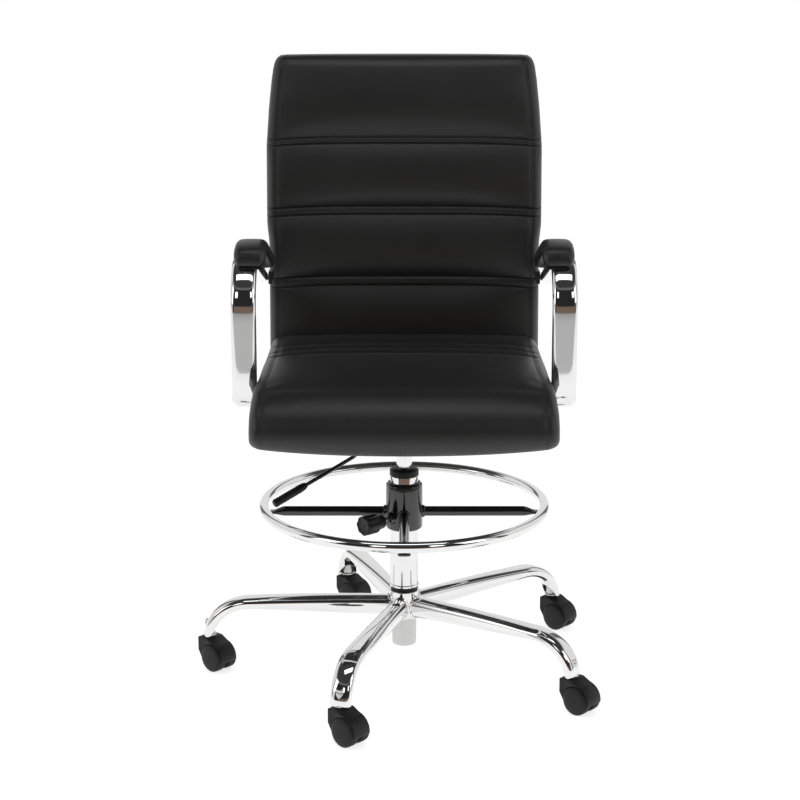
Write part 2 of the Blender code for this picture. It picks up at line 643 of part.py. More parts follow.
def make_lever(lift):
    rock = axis("lever_rock_axis", (LEVER_PIVOT, 0, LEVER_HEIGHT), lift)
    bore = LEVER_RADIUS + RUNNING
    cradle = turned("lever_cradle", collar(LEVER_RADIUS + 3.5 * MM, bore, -9 * MM, 9 * MM),
                    "satin_steel", rock, 16, (1, 0, 0))
    for side in (-1, 1):
        trunnion = turned(f"trunnion_{side}", disc(2.2 * MM, LEVER_RADIUS + 1.5 * MM, 13 * MM), None,
                          rock, 12, (0, side, 0))
        join(cradle, trunnion)
    curve = bpy.data.curves.new("lever_rod", "CURVE")
    curve.dimensions = "3D"
    curve.bevel_depth = LEVER_RADIUS
    curve.bevel_resolution = 2
    curve.use_fill_caps = True
    elbow, drop, tip = lever_points()
    route = [Vector((14 * MM, 0, LEVER_HEIGHT)), elbow, *curved(elbow, drop, tip), tip]
    spline = curve.splines.new("POLY")
    spline.points.add(len(route) - 1)
    for point, place_at in zip(spline.points, route):
        point.co = (*place_at, 1)
    place("lever_rod", curve, "gloss_black_paint", lift)
    along = (tip - drop).normalized()
    grip_start = tip - along * (GRIP_LENGTH - 6 * MM)
    outer = [(0, GRIP_LENGTH), (GRIP_RADIUS - 2.5 * MM, GRIP_LENGTH)]
    for step in range(9):
        height = GRIP_LENGTH - 3 * MM - (GRIP_LENGTH - 5 * MM) * step / 8
        outer.append((GRIP_RADIUS - (0.9 * MM if step % 2 else 0), height))
    outer += [(LEVER_RADIUS + 2 * MM, 0), (bore, 0), (bore, GRIP_LENGTH - 5 * MM), (0, GRIP_LENGTH - 5 * MM)]
    turned("lever_grip", outer, "black_plastic", lift, 16, along, grip_start)


def lever_points():
    """Where the rod leaves the cradle, where its straight run begins, and its tip."""
    return (Vector((-52 * MM, 0, LEVER_HEIGHT)), Vector((-92 * MM, -47 * MM, 418 * MM)),
            Vector((-219 * MM, -127 * MM, 361 * MM)))


def curved(start, through, end):
    """Points of an S from along -X at start to towards end at through, through included."""
    reach = (through - start).length
    first = start + Vector((-0.45, 0, 0)) * reach
    second = through - (end - through).normalized() * reach * 0.45
    for step in range(1, 9):
        t = step / 8
        yield (start * (1 - t) ** 3 + first * 3 * t * (1 - t) ** 2 + second * 3 * t * t * (1 - t)
               + through * t ** 3)


def back_line(height, offset=0.0):
    """Y of the back shell's middle line at this height, moved rearwards by offset."""
    return BACK_Y + (height - SEAT_TOP) * math.tan(math.radians(BACK_RAKE)) + offset


def shell_path(offset=0.0, start=-90, steps=8):
    """The shell's middle line in the Y-Z plane, moved outwards by offset, from this angle round its bend."""
    lean = math.radians(BACK_RAKE)
    level = PLATE_TOP + FIT + SHELL_THICKNESS / 2
    meet = back_line(level)
    reach = SHELL_BEND * math.tan((math.pi / 2 - lean) / 2)
    centre = (meet - reach, level + SHELL_BEND)
    path = [Vector((0, SHELL_FRONT, level - offset))] if start == -90 else []
    path += list(arc(centre, SHELL_BEND + offset, start, -BACK_RAKE, steps))
    path.append(Vector((0, back_line(SHELL_TOP, offset / math.cos(lean)), SHELL_TOP)))
    return path


def sheet(name, path, width, thickness, look, parent):
    """A bent sheet: the path's line drawn across the width, with Solidify."""
    mesh = bpy.data.meshes.new(name)
    shape = bmesh.new()
    rows = []
    for point in path:
        rows.append([shape.verts.new(point + Vector((side * width / 2, 0, 0))) for side in (-1, 1)])
    for near, far in zip(rows, rows[1:]):
        shape.faces.new((near[0], near[1], far[1], far[0]))
    shape.to_mesh(mesh)
    shape.free()
    obj = place(name, mesh, look, parent)
    thicken = obj.modifiers.new("thickness", "SOLIDIFY")
    thicken.thickness = thickness
    thicken.offset = 0
    thicken.use_even_offset = True
    return obj


def rail_boxes(side):
    """(low, high) corners of one side's blocks that the arm bolts go into: seat first, then back."""
    half_height = ARM_THICKNESS / 2
    outer = SEAT_WIDTH / 2 + ARM_GAP - FIT
    near, far = sorted((side * outer, side * (outer - RAIL_DEPTH)))
    end_y, end_z = arm_end()
    half = RAIL_LENGTH / 2
    yield ((near, BOLT_Y - half, PLATE_TOP + FIT + 1 * MM),
           (far, BOLT_Y + half, ARM_FOOT_HEIGHT + half_height))
    yield ((near, end_y - half_height, end_z - half_height),
           (far, back_line(end_z - half_height), end_z + half_height))


def arm_centre():
    return SEAT_WIDTH / 2 + ARM_GAP + ARM_WIDTH / 2


def arm_path():
    """The left arm's middle line in the Y-Z plane, from its foot to the back."""
    low_centre = (ARM_FRONT + ARM_FOOT_BEND, ARM_FOOT_HEIGHT + ARM_FOOT_BEND)
    top_centre = (ARM_FRONT + ARM_TOP_BEND, ARM_TOP_CENTRE)
    path = [Vector((0, ARM_FOOT_END, ARM_FOOT_HEIGHT))]
    path += list(arc(low_centre, ARM_FOOT_BEND, 270, 180, 5))
    path += list(arc(top_centre, ARM_TOP_BEND, 180, 90 - ARM_SLOPE, 7))
    last = path[-1]
    run = ARM_REAR - last.y
    path.append(Vector((0, ARM_REAR, last.z - run * math.tan(math.radians(ARM_SLOPE)))))
    return path


def arm_end():
    end = arm_path()[-1]
    back = 14 * MM
    return end.y - back, end.z + back * math.tan(math.radians(ARM_SLOPE))


def make_seat(tilt):
    half = HOUSING_WIDTH / 2
    plate = box("tilt_plate", (-PLATE_WIDTH / 2, PLATE_FRONT, PLATE_TOP - SHEET),
                (PLATE_WIDTH / 2, PLATE_REAR, PLATE_TOP), "gloss_black_paint", tilt)
    pin_hole = turned("flange_cutter", disc(TILT_PIN_RADIUS + RUNNING, -half - 20 * MM, half + 20 * MM),
                      None, tilt, 16, (1, 0, 0), (0, TILT_Y, TILT_HEIGHT))
    for side in (-1, 1):
        near, far = sorted((side * (half + SHEET), side * (half + 2 * SHEET)))
        flange = box(f"flange_{side}", (near, TILT_Y - 20 * MM, TILT_HEIGHT - 10 * MM),
                     (far, TILT_Y + 20 * MM, PLATE_TOP - 1 * MM), None, tilt)
        join(plate, flange)
    cut(plate, pin_hole)

    shell = sheet("seat_shell", shell_path(), SHELL_WIDTH, SHELL_THICKNESS, "plywood", tilt)
    cover_offset = SHELL_THICKNESS / 2 + FIT + COVER_THICKNESS / 2
    sheet("back_cover", shell_path(cover_offset, COVER_START, 3), SHELL_WIDTH, COVER_THICKNESS,
          "black_leather", tilt)

    shell_face = SHELL_THICKNESS / 2 + FIT
    seat_base = PLATE_TOP + FIT + SHELL_THICKNESS + FIT
    nose = SHELL_FRONT - 4 * MM
    seat = slab("seat_cushion", rounded([
        (nose, seat_base, 0), (nose, ROLL_BOTTOM, 3 * MM), (SEAT_FRONT + 14 * MM, ROLL_BOTTOM, 18 * MM),
        (SEAT_FRONT, SEAT_TOP - 55 * MM, 30 * MM), (SEAT_FRONT + 22 * MM, SEAT_TOP, 30 * MM),
        (SEAT_REAR, SEAT_TOP, 12 * MM), (SEAT_REAR, SEAT_TOP - 45 * MM, 0),
        (SEAT_REAR - 20 * MM, seat_base, 0),
    ]), SEAT_WIDTH, "black_leather", tilt, edge=5 * MM)
    face = BACK_THICKNESS + shell_face
    rear = shell_face + COVER_THICKNESS
    back = slab("back_cushion", rounded([
        (back_line(BACK_BOTTOM + 40 * MM, -face), BACK_BOTTOM, 8 * MM),
        (back_line(BACK_BOTTOM + 55 * MM, -face), BACK_BOTTOM + 55 * MM, 0),
        (back_line(BACK_TOP - 180 * MM, -face), BACK_TOP - 180 * MM, 60 * MM),
        (back_line(BACK_TOP, -face + 8 * MM), BACK_TOP, 18 * MM),
        (back_line(BACK_TOP, rear), BACK_TOP, 8 * MM),
        (back_line(SHELL_TOP + 3 * MM, rear), SHELL_TOP + 3 * MM, 0),
        (back_line(SHELL_TOP + 3 * MM, -shell_face), SHELL_TOP + 3 * MM, 0),
        (back_line(BACK_BOTTOM + 62 * MM, -shell_face - 1 * MM), BACK_BOTTOM + 62 * MM, 0),
        (back_line(BACK_BOTTOM, -shell_face - 10 * MM), BACK_BOTTOM, 0),
    ]), SEAT_WIDTH, "black_leather", tilt, edge=5 * MM)
    make_arms(tilt, shell, seat, back)


def make_arms(tilt, shell, seat, back):
    centre_x = arm_centre()
    path = arm_path()
    end_y, end_z = arm_end()
    outer = centre_x + ARM_WIDTH / 2
    shank = 68 * MM
    for side, word in ((-1, "left"), (1, "right")):
        sections = []
        for i, point in enumerate(path):
            before, after = path[max(i - 1, 0)], path[min(i + 1, len(path) - 1)]
            along = (after - before).normalized()
            up = Vector((1, 0, 0)).cross(along)
            sections.append(oval(point + Vector((side * centre_x, 0, 0)), Vector((1, 0, 0)), up,
                                 ARM_WIDTH, ARM_THICKNESS, 12, 0.6))
        arm = loft(f"arm_{word}", sections, "chrome", tilt)
        for name, y, z in (("seat", BOLT_Y, ARM_FOOT_HEIGHT), ("back", end_y, end_z)):
            outward = (side, 0, 0)
            bolt_hole = turned(f"bolt_cutter_{word}_{name}", disc(BOLT_RADIUS + RUNNING,
                               outer - shank - 2 * MM, outer + 10 * MM), None, tilt, 12, outward, (0, y, z))
            head = outer + FIT
            turned(f"arm_bolt_{word}_{name}", [
                (0, head + BOLT_HEAD_HEIGHT), (BOLT_HEAD_RADIUS * 0.6, head + BOLT_HEAD_HEIGHT * 0.85),
                (BOLT_HEAD_RADIUS * 0.9, head + BOLT_HEAD_HEIGHT * 0.45), (BOLT_HEAD_RADIUS, head),
                (BOLT_RADIUS, head), (BOLT_RADIUS, outer - shank), (0, outer - shank),
            ], "chrome", tilt, 12, outward, (0, y, z))
            cut(arm, bolt_hole)
        for (low, high), cushion in zip(rail_boxes(side), (seat, back)):
            name = f"{cushion.name}_{word}"
            join(shell, box(f"rail_{name}", low, high, None, tilt))
            room = 2 * FIT
            cut(cushion, box(f"room_{name}", [v - room for v in low], [v + room for v in high], None, tilt))
        make_pad(tilt, side, word)
    for word in ("left", "right"):
        for name in ("seat", "back"):
            cut(shell, bpy.data.objects[f"bolt_cutter_{word}_{name}"])


def make_pad(tilt, side, word):
    """A pad along the top of the arm, crowned across and rounded at its ends."""
    lift = ARM_THICKNESS / 2 + FIT
    path = [p for p in arm_path() if p.z > ARM_TOP_CENTRE and p.y > PAD_FRONT - 20 * MM]
    path.pop()  # the arm's rear end, which the pad stops short of
    slope = math.tan(math.radians(ARM_SLOPE))
    knee = path[-1]
    for y in (30 * MM, 75 * MM, 120 * MM, PAD_REAR):
        path.append(Vector((0, y, knee.z - (y - knee.y) * slope)))
    sections = []
    for i, point in enumerate(path):
        before, after = path[max(i - 1, 0)], path[min(i + 1, len(path) - 1)]
        along = (after - before).normalized()
        up = Vector((1, 0, 0)).cross(along)
        end = i in (0, len(path) - 1)
        thickness = PAD_THICKNESS * (0.72 if end else 1)
        width = PAD_WIDTH * (0.86 if end else 1)
        middle = point + up * (lift + thickness / 2) + Vector((side * (arm_centre() - PAD_INSET), 0, 0))
        sections.append(oval(middle, Vector((1, 0, 0)), up, width, thickness, 16, 0.55))
    loft(f"arm_pad_{word}", sections, "black_leather", tilt)


def main():
    make_column()
    lift = make_gas_spring()
    make_legs()
    make_casters()
    make_foot_ring()
    make_housing(lift)
    make_lever(lift)
    tilt = axis("tilt_axis", (0, 0, 0), lift)
    make_seat(tilt)


main()
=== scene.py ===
"""The drafting chair's leather, chrome, paint and plastic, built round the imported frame."""

import math

import bmesh
import bpy
import numpy as np
from bpy.props import (
    FloatProperty,
    FloatVectorProperty,
    IntProperty,
    PointerProperty,
)
from mathutils import Matrix, Vector
from mathutils.bvhtree import BVHTree


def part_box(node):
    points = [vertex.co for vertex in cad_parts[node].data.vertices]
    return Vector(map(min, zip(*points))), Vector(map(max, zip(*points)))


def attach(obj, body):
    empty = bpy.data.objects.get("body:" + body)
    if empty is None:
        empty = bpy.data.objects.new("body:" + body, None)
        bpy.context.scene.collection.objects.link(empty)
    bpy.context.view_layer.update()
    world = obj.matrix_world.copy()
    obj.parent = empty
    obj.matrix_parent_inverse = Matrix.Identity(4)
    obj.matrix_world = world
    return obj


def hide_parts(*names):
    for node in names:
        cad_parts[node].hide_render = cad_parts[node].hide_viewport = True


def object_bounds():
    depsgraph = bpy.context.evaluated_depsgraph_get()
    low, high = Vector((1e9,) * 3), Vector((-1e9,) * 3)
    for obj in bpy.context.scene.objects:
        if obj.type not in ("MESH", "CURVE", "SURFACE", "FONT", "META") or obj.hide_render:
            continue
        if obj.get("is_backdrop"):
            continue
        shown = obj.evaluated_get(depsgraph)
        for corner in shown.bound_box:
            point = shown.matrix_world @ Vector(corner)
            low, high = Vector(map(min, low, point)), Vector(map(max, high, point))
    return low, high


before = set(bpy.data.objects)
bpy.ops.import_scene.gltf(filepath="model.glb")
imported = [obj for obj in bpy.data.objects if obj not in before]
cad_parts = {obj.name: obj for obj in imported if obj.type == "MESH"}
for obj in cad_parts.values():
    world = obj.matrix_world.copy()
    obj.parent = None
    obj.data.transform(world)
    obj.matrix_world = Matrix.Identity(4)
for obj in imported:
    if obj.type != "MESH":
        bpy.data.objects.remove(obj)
CAD_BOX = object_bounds()

bl_info = {
    "name": "Drafting Chair",
    "version": (1, 0, 0),
    "blender": (4, 5, 0),
    "location": "View3D > Sidebar > Chair",
    "description": "Builds the chair's upholstery, chrome and plastic round its packed frame",
    "category": "Add Mesh",
}

MM = 0.001
TINY = 1e-6

# The chair's own lines, in metres. FLOOR is the frame's Z. Every other height is measured from a
# level DROP under the frame's origin, 14 mm under the floor, and up() makes it the frame's Z.
FLOOR = -0.044
DROP = 0.058
LEG_TURN = math.radians(-17.3)
LEG_STEP = math.radians(72)
LEG_REACH = 0.352
LEG_CREST = 0.1365
LEG_END = 0.075
CASTER_TURN = math.radians(-42.5)
CASTER_TRAIL = 0.022
WHEEL_RADIUS = 0.025
RING_RADIUS = 0.250
RING_HEIGHT = 0.320
CLAMP_RADIUS = 0.0330
SPOKE_HEIGHT = 0.307
KNOB_WAY = math.radians(-46)
KNOB_HEIGHT = 0.300
LEVER_HEIGHT = 0.465
SEAT_TOP = 0.590
BACK_Y = 0.247
RAKE = math.radians(6.7)
BACK_FACE = 0.0623  # from the shell's middle forward to the cushion's front
BACK_SKIN = 0.0072  # from the shell's middle forward to the cushion's rear
SHELL_TOP = 1.068
BACK_TOP = 1.096
ARM_SLOPE = math.radians(17)
HUB_RADIUS = 0.0283
LEG_SQUARENESS = 0.78
TUBE_WALL = 0.0018
SIDE_SEAM_DEPTH = 1.9 * MM
STITCH_INSET = 2.6 * MM

X_AXIS, Y_AXIS, Z_AXIS = Vector((1, 0, 0)), Vector((0, 1, 0)), Vector((0, 0, 1))


def up(height):
    """A height of the chair's own as the frame's Z."""
    return height - DROP


def back_line(height):
    """Y of the back shell's middle at this height."""
    return BACK_Y + (height - SEAT_TOP) * math.tan(RAKE)


def compass(angle, reach=1.0, height=0.0):
    """The point at this bearing, from straight ahead (-Y) towards +X."""
    return Vector((reach * math.sin(angle), -reach * math.cos(angle), height))


def share_of(value, low, high):
    """0 below low, 1 above high, and even between."""
    return np.clip((value - low) / (high - low), 0, 1)


def ease(value, low, high):
    """0 below low, 1 above high, and a smooth step between."""
    t = share_of(value, low, high)
    return t * t * (3 - 2 * t)


class Value:
    """One output of a node. Arithmetic on it adds Math nodes."""

    def __init__(self, graph, socket):
        self.graph, self.socket = graph, socket

    def out(self, name):
        return Value(self.graph, self.graph.find(self.socket.node.outputs, name))

    def _math(self, operation, first, second=None):
        inputs = {0: first} if second is None else {0: first, 1: second}
        return self.graph.node("ShaderNodeMath", inputs, operation=operation)

    def __add__(self, other):
        return self._math("ADD", self, other)

    def __radd__(self, other):
        return self._math("ADD", other, self)

    def __sub__(self, other):
        return self._math("SUBTRACT", self, other)

    def __rsub__(self, other):
        return self._math("SUBTRACT", other, self)

    def __mul__(self, other):
        return self._math("MULTIPLY", self, other)

    def __rmul__(self, other):
        return self._math("MULTIPLY", other, self)

    def __truediv__(self, other):
        return self._math("DIVIDE", self, other)

    def clamp(self, low, high):
        return self._math("MINIMUM", self._math("MAXIMUM", self, low), high)

    def step(self, low, high):
        """0 below low, 1 above high, smooth between."""
        return self.graph.node(
            "ShaderNodeMapRange",
            {"Value": self, "From Min": low, "From Max": high},
            interpolation_type="SMOOTHSTEP",
        )


class Graph:
    """A node tree that is filled one call a node."""

    def __init__(self, tree):
        self.tree = tree

    @staticmethod
    def find(sockets, name):
        if isinstance(name, int):
            return sockets[name]
        for socket in sockets:
            if socket.identifier == name:
                return socket
        for socket in sockets:
            if socket.name == name and socket.enabled:
                return socket
        raise KeyError(name)

    def node(self, kind, inputs=None, **settings):
        made = self.tree.nodes.new(kind)
        for name, value in settings.items():
            setattr(made, name, value)
        for name, value in (inputs or {}).items():
            socket = self.find(made.inputs, name)
            if isinstance(value, Value):
                self.tree.links.new(value.socket, socket)
            else:
                socket.default_value = value
        outputs = [socket for socket in made.outputs if socket.enabled]
        return Value(self, outputs[0] if outputs else made.inputs[0])

    def mixed(self, factor, first, second):
        inputs = {"Factor_Float": factor, "A_Color": first, "B_Color": second}
        return self.node("ShaderNodeMix", inputs, data_type="RGBA").out("Result_Color")


class Finish(Graph):
    """A material: one Principled shader and what feeds it."""

    def __init__(self, name, **constants):
        self.material = bpy.data.materials.new(name)
        self.material.use_nodes = True
        super().__init__(self.material.node_tree)
        self.shader = self.tree.nodes["Principled BSDF"]
        for socket, value in constants.items():
            self.shader.inputs[socket.replace("_", " ")].default_value = value
        self.place = self.node("ShaderNodeTexCoord").out("Object")

    def feed(self, socket, value):
        self.tree.links.new(value.socket, self.shader.inputs[socket])

    def noise(self, scale, detail=2.0, roughness=0.5, stretch=None):
        where = self.place
        if stretch:
            where = self.node("ShaderNodeMapping", {"Vector": where, "Scale": stretch})
        return self.node(
            "ShaderNodeTexNoise",
            {"Vector": where, "Scale": scale, "Detail": detail, "Roughness": roughness},
        )

    def bump(self, height, strength, distance):
        inputs = {"Height": height, "Strength": strength, "Distance": distance}
        self.feed("Normal", self.node("ShaderNodeBump", inputs))


def grey(value, warm=0.0):
    return (value * (1 + warm), value, value * (1 - warm), 1)


# ----------------------------------------------------------------------------------------- finishes


def make_chrome(looks):
    """Mirror plating over polished steel, with a trace of haze and faint polishing waves."""
    chrome = Finish("chrome_plating", Metallic=1.0)
    haze = chrome.noise(9, 3)
    chrome.feed("Base Color", chrome.mixed(haze, (*looks.chrome_colour, 1), grey(0.80, 0.01)))
    smudge = chrome.noise(55, 4, 0.6).step(0.52, 0.75)
    chrome.feed("Roughness", looks.chrome_roughness + 0.02 * haze + 0.025 * smudge)
    chrome.bump(chrome.noise(14, 1), 0.06, 0.002)
    return chrome.material


def make_satin(looks):
    """Ground steel and zinc, brushed round its length."""
    satin = Finish("satin_steel", Metallic=1.0)
    lines = satin.noise(120, 3, 0.7, (0.6, 0.6, 14))
    satin.feed("Base Color", satin.mixed(lines, grey(0.48), grey(0.68, 0.01)))
    satin.feed("Roughness", looks.satin_roughness + 0.12 * lines)
    satin.bump(lines, 0.12, 0.0003)
    return satin.material


def make_paint(looks):
    """Gloss black powder coat with a slight orange peel."""
    paint = Finish("gloss_black_paint", Coat_Weight=0.6, Coat_Roughness=0.06)
    dust = paint.noise(260, 3).step(0.62, 0.8)
    paint.feed("Base Color", paint.mixed(dust, grey(0.006), grey(0.014)))
    paint.feed("Roughness", looks.paint_roughness + 0.10 * dust)
    paint.bump(paint.noise(420, 1), 0.10, 0.0004)
    return paint.material


def make_plastic(looks):
    """Moulded black nylon with a fine sparked texture, rubbed smoother and a little lighter in
    scattered patches.
    """
    plastic = Finish("moulded_black_plastic", Specular_IOR_Level=0.30)
    grain = plastic.node("ShaderNodeTexVoronoi", {"Vector": plastic.place, "Scale": 1900.0})
    worn = plastic.noise(38, 4).step(0.5, 0.72)
    plastic.feed("Base Color", plastic.mixed(worn, grey(0.006), grey(0.012)))
    plastic.feed("Roughness", looks.plastic_roughness + 0.06 * grain - 0.08 * worn)
    plastic.bump(grain, 0.16, 0.0003)
    return plastic.material


def make_tyre(looks):
    """The casters' hard treads: duller than their hoods, and dusty where they roll."""
    tyre = Finish("caster_tyre", Specular_IOR_Level=0.28)
    dust = tyre.noise(70, 5, 0.65).step(0.45, 0.75)
    tyre.feed("Base Color", tyre.mixed(dust, grey(0.007), grey(0.016, 0.03)))
    tyre.feed("Roughness", looks.plastic_roughness + 0.05 + 0.14 * dust)
    tyre.bump(tyre.noise(1500, 2), 0.2, 0.0003)
    return tyre.material


def make_leather(looks):
    """Coated leather with pebbled grain, fine pores, long creases and drier seams, with painted
    shade darkening the colour along the seam creases.
    """
    leather = Finish(
        "black_leather", Specular_IOR_Level=0.5, Sheen_Weight=0.04, Sheen_Roughness=0.5)
    seam = leather.node("ShaderNodeAttribute", attribute_name="seam").out("Fac")
    warp = leather.noise(260, 2).out("Color")
    shift = leather.node("ShaderNodeVectorMath", {0: warp, "Scale": 0.0009}, operation="SCALE")
    where = leather.node("ShaderNodeVectorMath", {0: leather.place, 1: shift}, operation="ADD")
    grain = {"Vector": where, "Scale": 1 / looks.grain_size}
    cells = leather.node("ShaderNodeTexVoronoi", grain, feature="DISTANCE_TO_EDGE")
    pebbles = cells.step(0.0, 0.22)
    pores = leather.noise(2600, 2, 0.6)
    folds = leather.noise(34, 4, 0.55, (1.0, 1.0, 1.9))
    blush = leather.noise(5, 3)
    tone = leather.mixed(blush * 0.6 + pebbles * 0.4, grey(0.0085), (*looks.leather_colour, 1))
    # painted shade: the seam mark darkens the colour along the seam creases; its effect on
    # roughness below is the seams' real dryness
    leather.feed("Base Color", leather.mixed(seam * 0.6, tone, grey(0.004)))
    dull = looks.leather_roughness + 0.12 * (blush - 0.5) + 0.07 * (1 - pebbles) + 0.12 * seam
    leather.feed("Roughness", dull.clamp(0.2, 0.8))
    leather.bump(pebbles * 0.55 + pores * 0.25 + folds * 1.6, looks.grain_strength, 0.0006)
    return leather.material


def make_thread(looks):
    """Bonded nylon thread, two plies twisted."""
    thread = Finish("black_thread", Specular_IOR_Level=0.4)
    twist = {"Vector": thread.place, "Scale": 900.0, "Distortion": 3.0}
    ply = thread.node("ShaderNodeTexWave", twist)
    thread.feed("Base Color", thread.mixed(ply, grey(0.010), (*looks.thread_colour, 1)))
    thread.feed("Roughness", 0.42 + 0.2 * ply)
    thread.bump(ply, 0.4, 0.0002)
    return thread.material


def make_lining(looks):
    """Black non-woven dust cover stretched over the plywood's underside."""
    lining = Finish("black_lining", Specular_IOR_Level=0.2, Sheen_Weight=0.2)
    fibres = lining.noise(700, 5, 0.75, (1.0, 2.2, 1.0))
    dots = lining.node("ShaderNodeTexVoronoi", {"Vector": lining.place, "Scale": 620.0})
    lining.feed("Base Color", lining.mixed(fibres, grey(0.012), grey(0.034)))
    lining.feed("Roughness", 0.78 + 0.15 * fibres)
    lining.bump(fibres + dots.step(0.1, 0.4) * 0.6, 0.5, 0.0005)
    return lining.material


def make_spring(looks):
    """Oil-tempered wire."""
    wire = Finish("spring_steel", Metallic=1.0)
    oil = wire.noise(180, 4)
    wire.feed("Base Color", wire.mixed(oil, grey(0.16), (0.30, 0.27, 0.25, 1)))
    wire.feed("Roughness", 0.28 + 0.25 * oil)
    wire.bump(oil, 0.1, 0.0003)
    return wire.material


FINISHES = {
    "chrome": make_chrome,
    "satin_steel": make_satin,
    "gloss_black_paint": make_paint,
    "black_plastic": make_plastic,
    "tyre": make_tyre,
    "black_leather": make_leather,
    "thread": make_thread,
    "lining": make_lining,
    "spring_steel": make_spring,
}
made_once = {}  # materials and node groups by name


def finish_of(name):
    """The material of that finish, made once from the scene's own looks."""
    if name not in made_once:
        made_once[name] = FINISHES[name](bpy.context.scene.chair_looks)
    return made_once[name]


# ------------------------------------------------------------------------------------------- shapes


def linked(name, data):
    """A new object with this data, in the scene."""
    obj = bpy.data.objects.new(name, data)
    bpy.context.scene.collection.objects.link(obj)
    return obj


def piece(name, points, faces, sharp=40):
    """A mesh object at the origin, welded and shaded smooth up to an angle."""
    mesh = bpy.data.meshes.new(name)
    mesh.from_pydata([tuple(point) for point in points], [], faces)
    tidy(mesh, sharp)
    return linked(name, mesh)


def tidy(mesh, sharp=40):
    """Welds the mesh, turns its faces outwards and shades it smooth up to an angle."""
    shape = bmesh.new()
    shape.from_mesh(mesh)
    bmesh.ops.remove_doubles(shape, verts=shape.verts, dist=TINY)
    bmesh.ops.recalc_face_normals(shape, faces=shape.faces)
    shape.to_mesh(mesh)
    shape.free()
    mesh.shade_smooth()
    mesh.set_sharp_from_angle(angle=math.radians(sharp))


def skin(name, rings, closed=False, sharp=40):
    """A surface over rings of equally many points, capped at both ends or joined into a loop."""
    rings = np.asarray([[tuple(p) for p in ring] for ring in rings], float)
    count, size = rings.shape[:2]
    points = rings.reshape(-1, 3)
    faces = []
    for i in range(count if closed else count - 1):
        near, far = i * size, (i + 1) % count * size
        for j in range(size):
            k = (j + 1) % size
            faces.append((near + j, near + k, far + k, far + j))
    if not closed:
        faces.append(tuple(range(size)))
        faces.append(tuple(range((count - 1) * size, count * size)))
    return piece(name, points, faces, sharp)


def filleted(corners, steps=5, closed=True):
    """An outline of (x, y, radius) corners as plain points, each radius an arc."""
    outline = []
    for i, corner in enumerate(corners):
        at = Vector(corner[:2])
        radius = corner[2] if len(corner) > 2 else 0
        ends = not closed and i in (0, len(corners) - 1)
        if not radius or ends:
            outline.append(at)
            continue
        before = (Vector(corners[i - 1][:2]) - at).normalized()
        after = (Vector(corners[(i + 1) % len(corners)][:2]) - at).normalized()
        half = before.angle(after) / 2
        centre = at + (before + after).normalized() * radius / math.sin(half)
        first = at + before * radius / math.tan(half) - centre
        turn = first.angle_signed(at + after * radius / math.tan(half) - centre)
        for step in range(steps + 1):
            outline.append(centre + Matrix.Rotation(-turn * step / steps, 2) @ first)
    return outline


def lathe(name, profile, steps=64, matrix=None, closed=False, sharp=40):
    """(radius, height, fillet) corners turned round Z. closed joins the last to the first."""
    outline = filleted(profile, 4, closed)
    points, rings = [], []
    for radius, height in outline:
        first = len(points)
        if radius < TINY:
            points.append((0, 0, height))
            rings.append([first])
            continue
        for i in range(steps):
            angle = 2 * math.pi * i / steps
            points.append((radius * math.cos(angle), radius * math.sin(angle), height))
        rings.append(list(range(first, first + steps)))
    faces = []
    pairs = list(zip(rings, rings[1:])) + ([(rings[-1], rings[0])] if closed else [])
    for near, far in pairs:
        for i in range(steps):
            j = (i + 1) % steps
            here = (near[i % len(near)], near[j % len(near)])
            there = (far[j % len(far)], far[i % len(far)])
            face = tuple(dict.fromkeys(here + there))
            if len(face) > 2:
                faces.append(face)
    if matrix is not None:
        points = [matrix @ Vector(point) for point in points]
    return piece(name, points, faces, sharp)


def column_lathe(name, profile, steps, closed=True):
    """A lathe round the column's axis whose corners have the chair's own heights."""
    corners = [(radius, up(height), *fillet) for radius, height, *fillet in profile]
    return lathe(name, corners, steps, closed=closed)


def aimed(at, way):
    """A matrix that puts a shape drawn along +Z at a point, pointing that way."""
    return Matrix.Translation(at) @ Vector(way).to_track_quat("Z", "Y").to_matrix().to_4x4()


def squared(angle, squareness):
    """An angle's cosine and sine, drawn out towards the corners: 1 is a circle and 0 a square."""
    x, y = math.cos(angle), math.sin(angle)
    return math.copysign(abs(x) ** squareness, x), math.copysign(abs(y) ** squareness, y)


def oval(centre, across, above, width, depth, count, squareness):
    """Points round a softened rectangle; squareness 1 is an ellipse and 0 a rectangle."""
    ring = []
    for i in range(count):
        x, y = squared(2 * math.pi * (i + 0.5) / count, squareness)
        ring.append(centre + across * (x * width / 2) + above * (y * depth / 2))
    return ring


def ways_along(path):
    """Unit tangents of a path of points."""
    path = [Vector(p) for p in path]
    ends = [(path[max(i - 1, 0)], path[min(i + 1, len(path) - 1)]) for i in range(len(path))]
    return [(b - a).normalized() for a, b in ends]


def rod(name, path, radius, around=24, sharp=40):
    """A round bar along a path, with softened ends. radius is a number or one number a point."""
    ways = ways_along(path)
    side = ways[0].orthogonal().normalized()
    radii = radius if hasattr(radius, "__len__") else [radius] * len(path)
    rings = []
    for point, way, size in zip(path, ways, radii):
        side = (side - way * side.dot(way)).normalized()
        rings.append(oval(Vector(point), side, way.cross(side), 2 * size, 2 * size, around, 1.0))
    return skin(name, rings, sharp=sharp)


def round_ends(path, radius, bead):
    """The path and its points' radii, with both ends drawn in over the length of a bead."""
    ways = ways_along(path)
    shares = (0.0, 0.3, 0.7)
    drawn_in = [bead * (1 - math.sin(math.acos(1 - share))) for share in shares]
    start = [path[0] + ways[0] * bead * share for share in shares]
    end = [path[-1] - ways[-1] * bead * share for share in shares[::-1]]
    narrow = [radius - inset for inset in drawn_in]
    return start + path[1:-1] + end, narrow + [radius] * (len(path) - 2) + narrow[::-1]


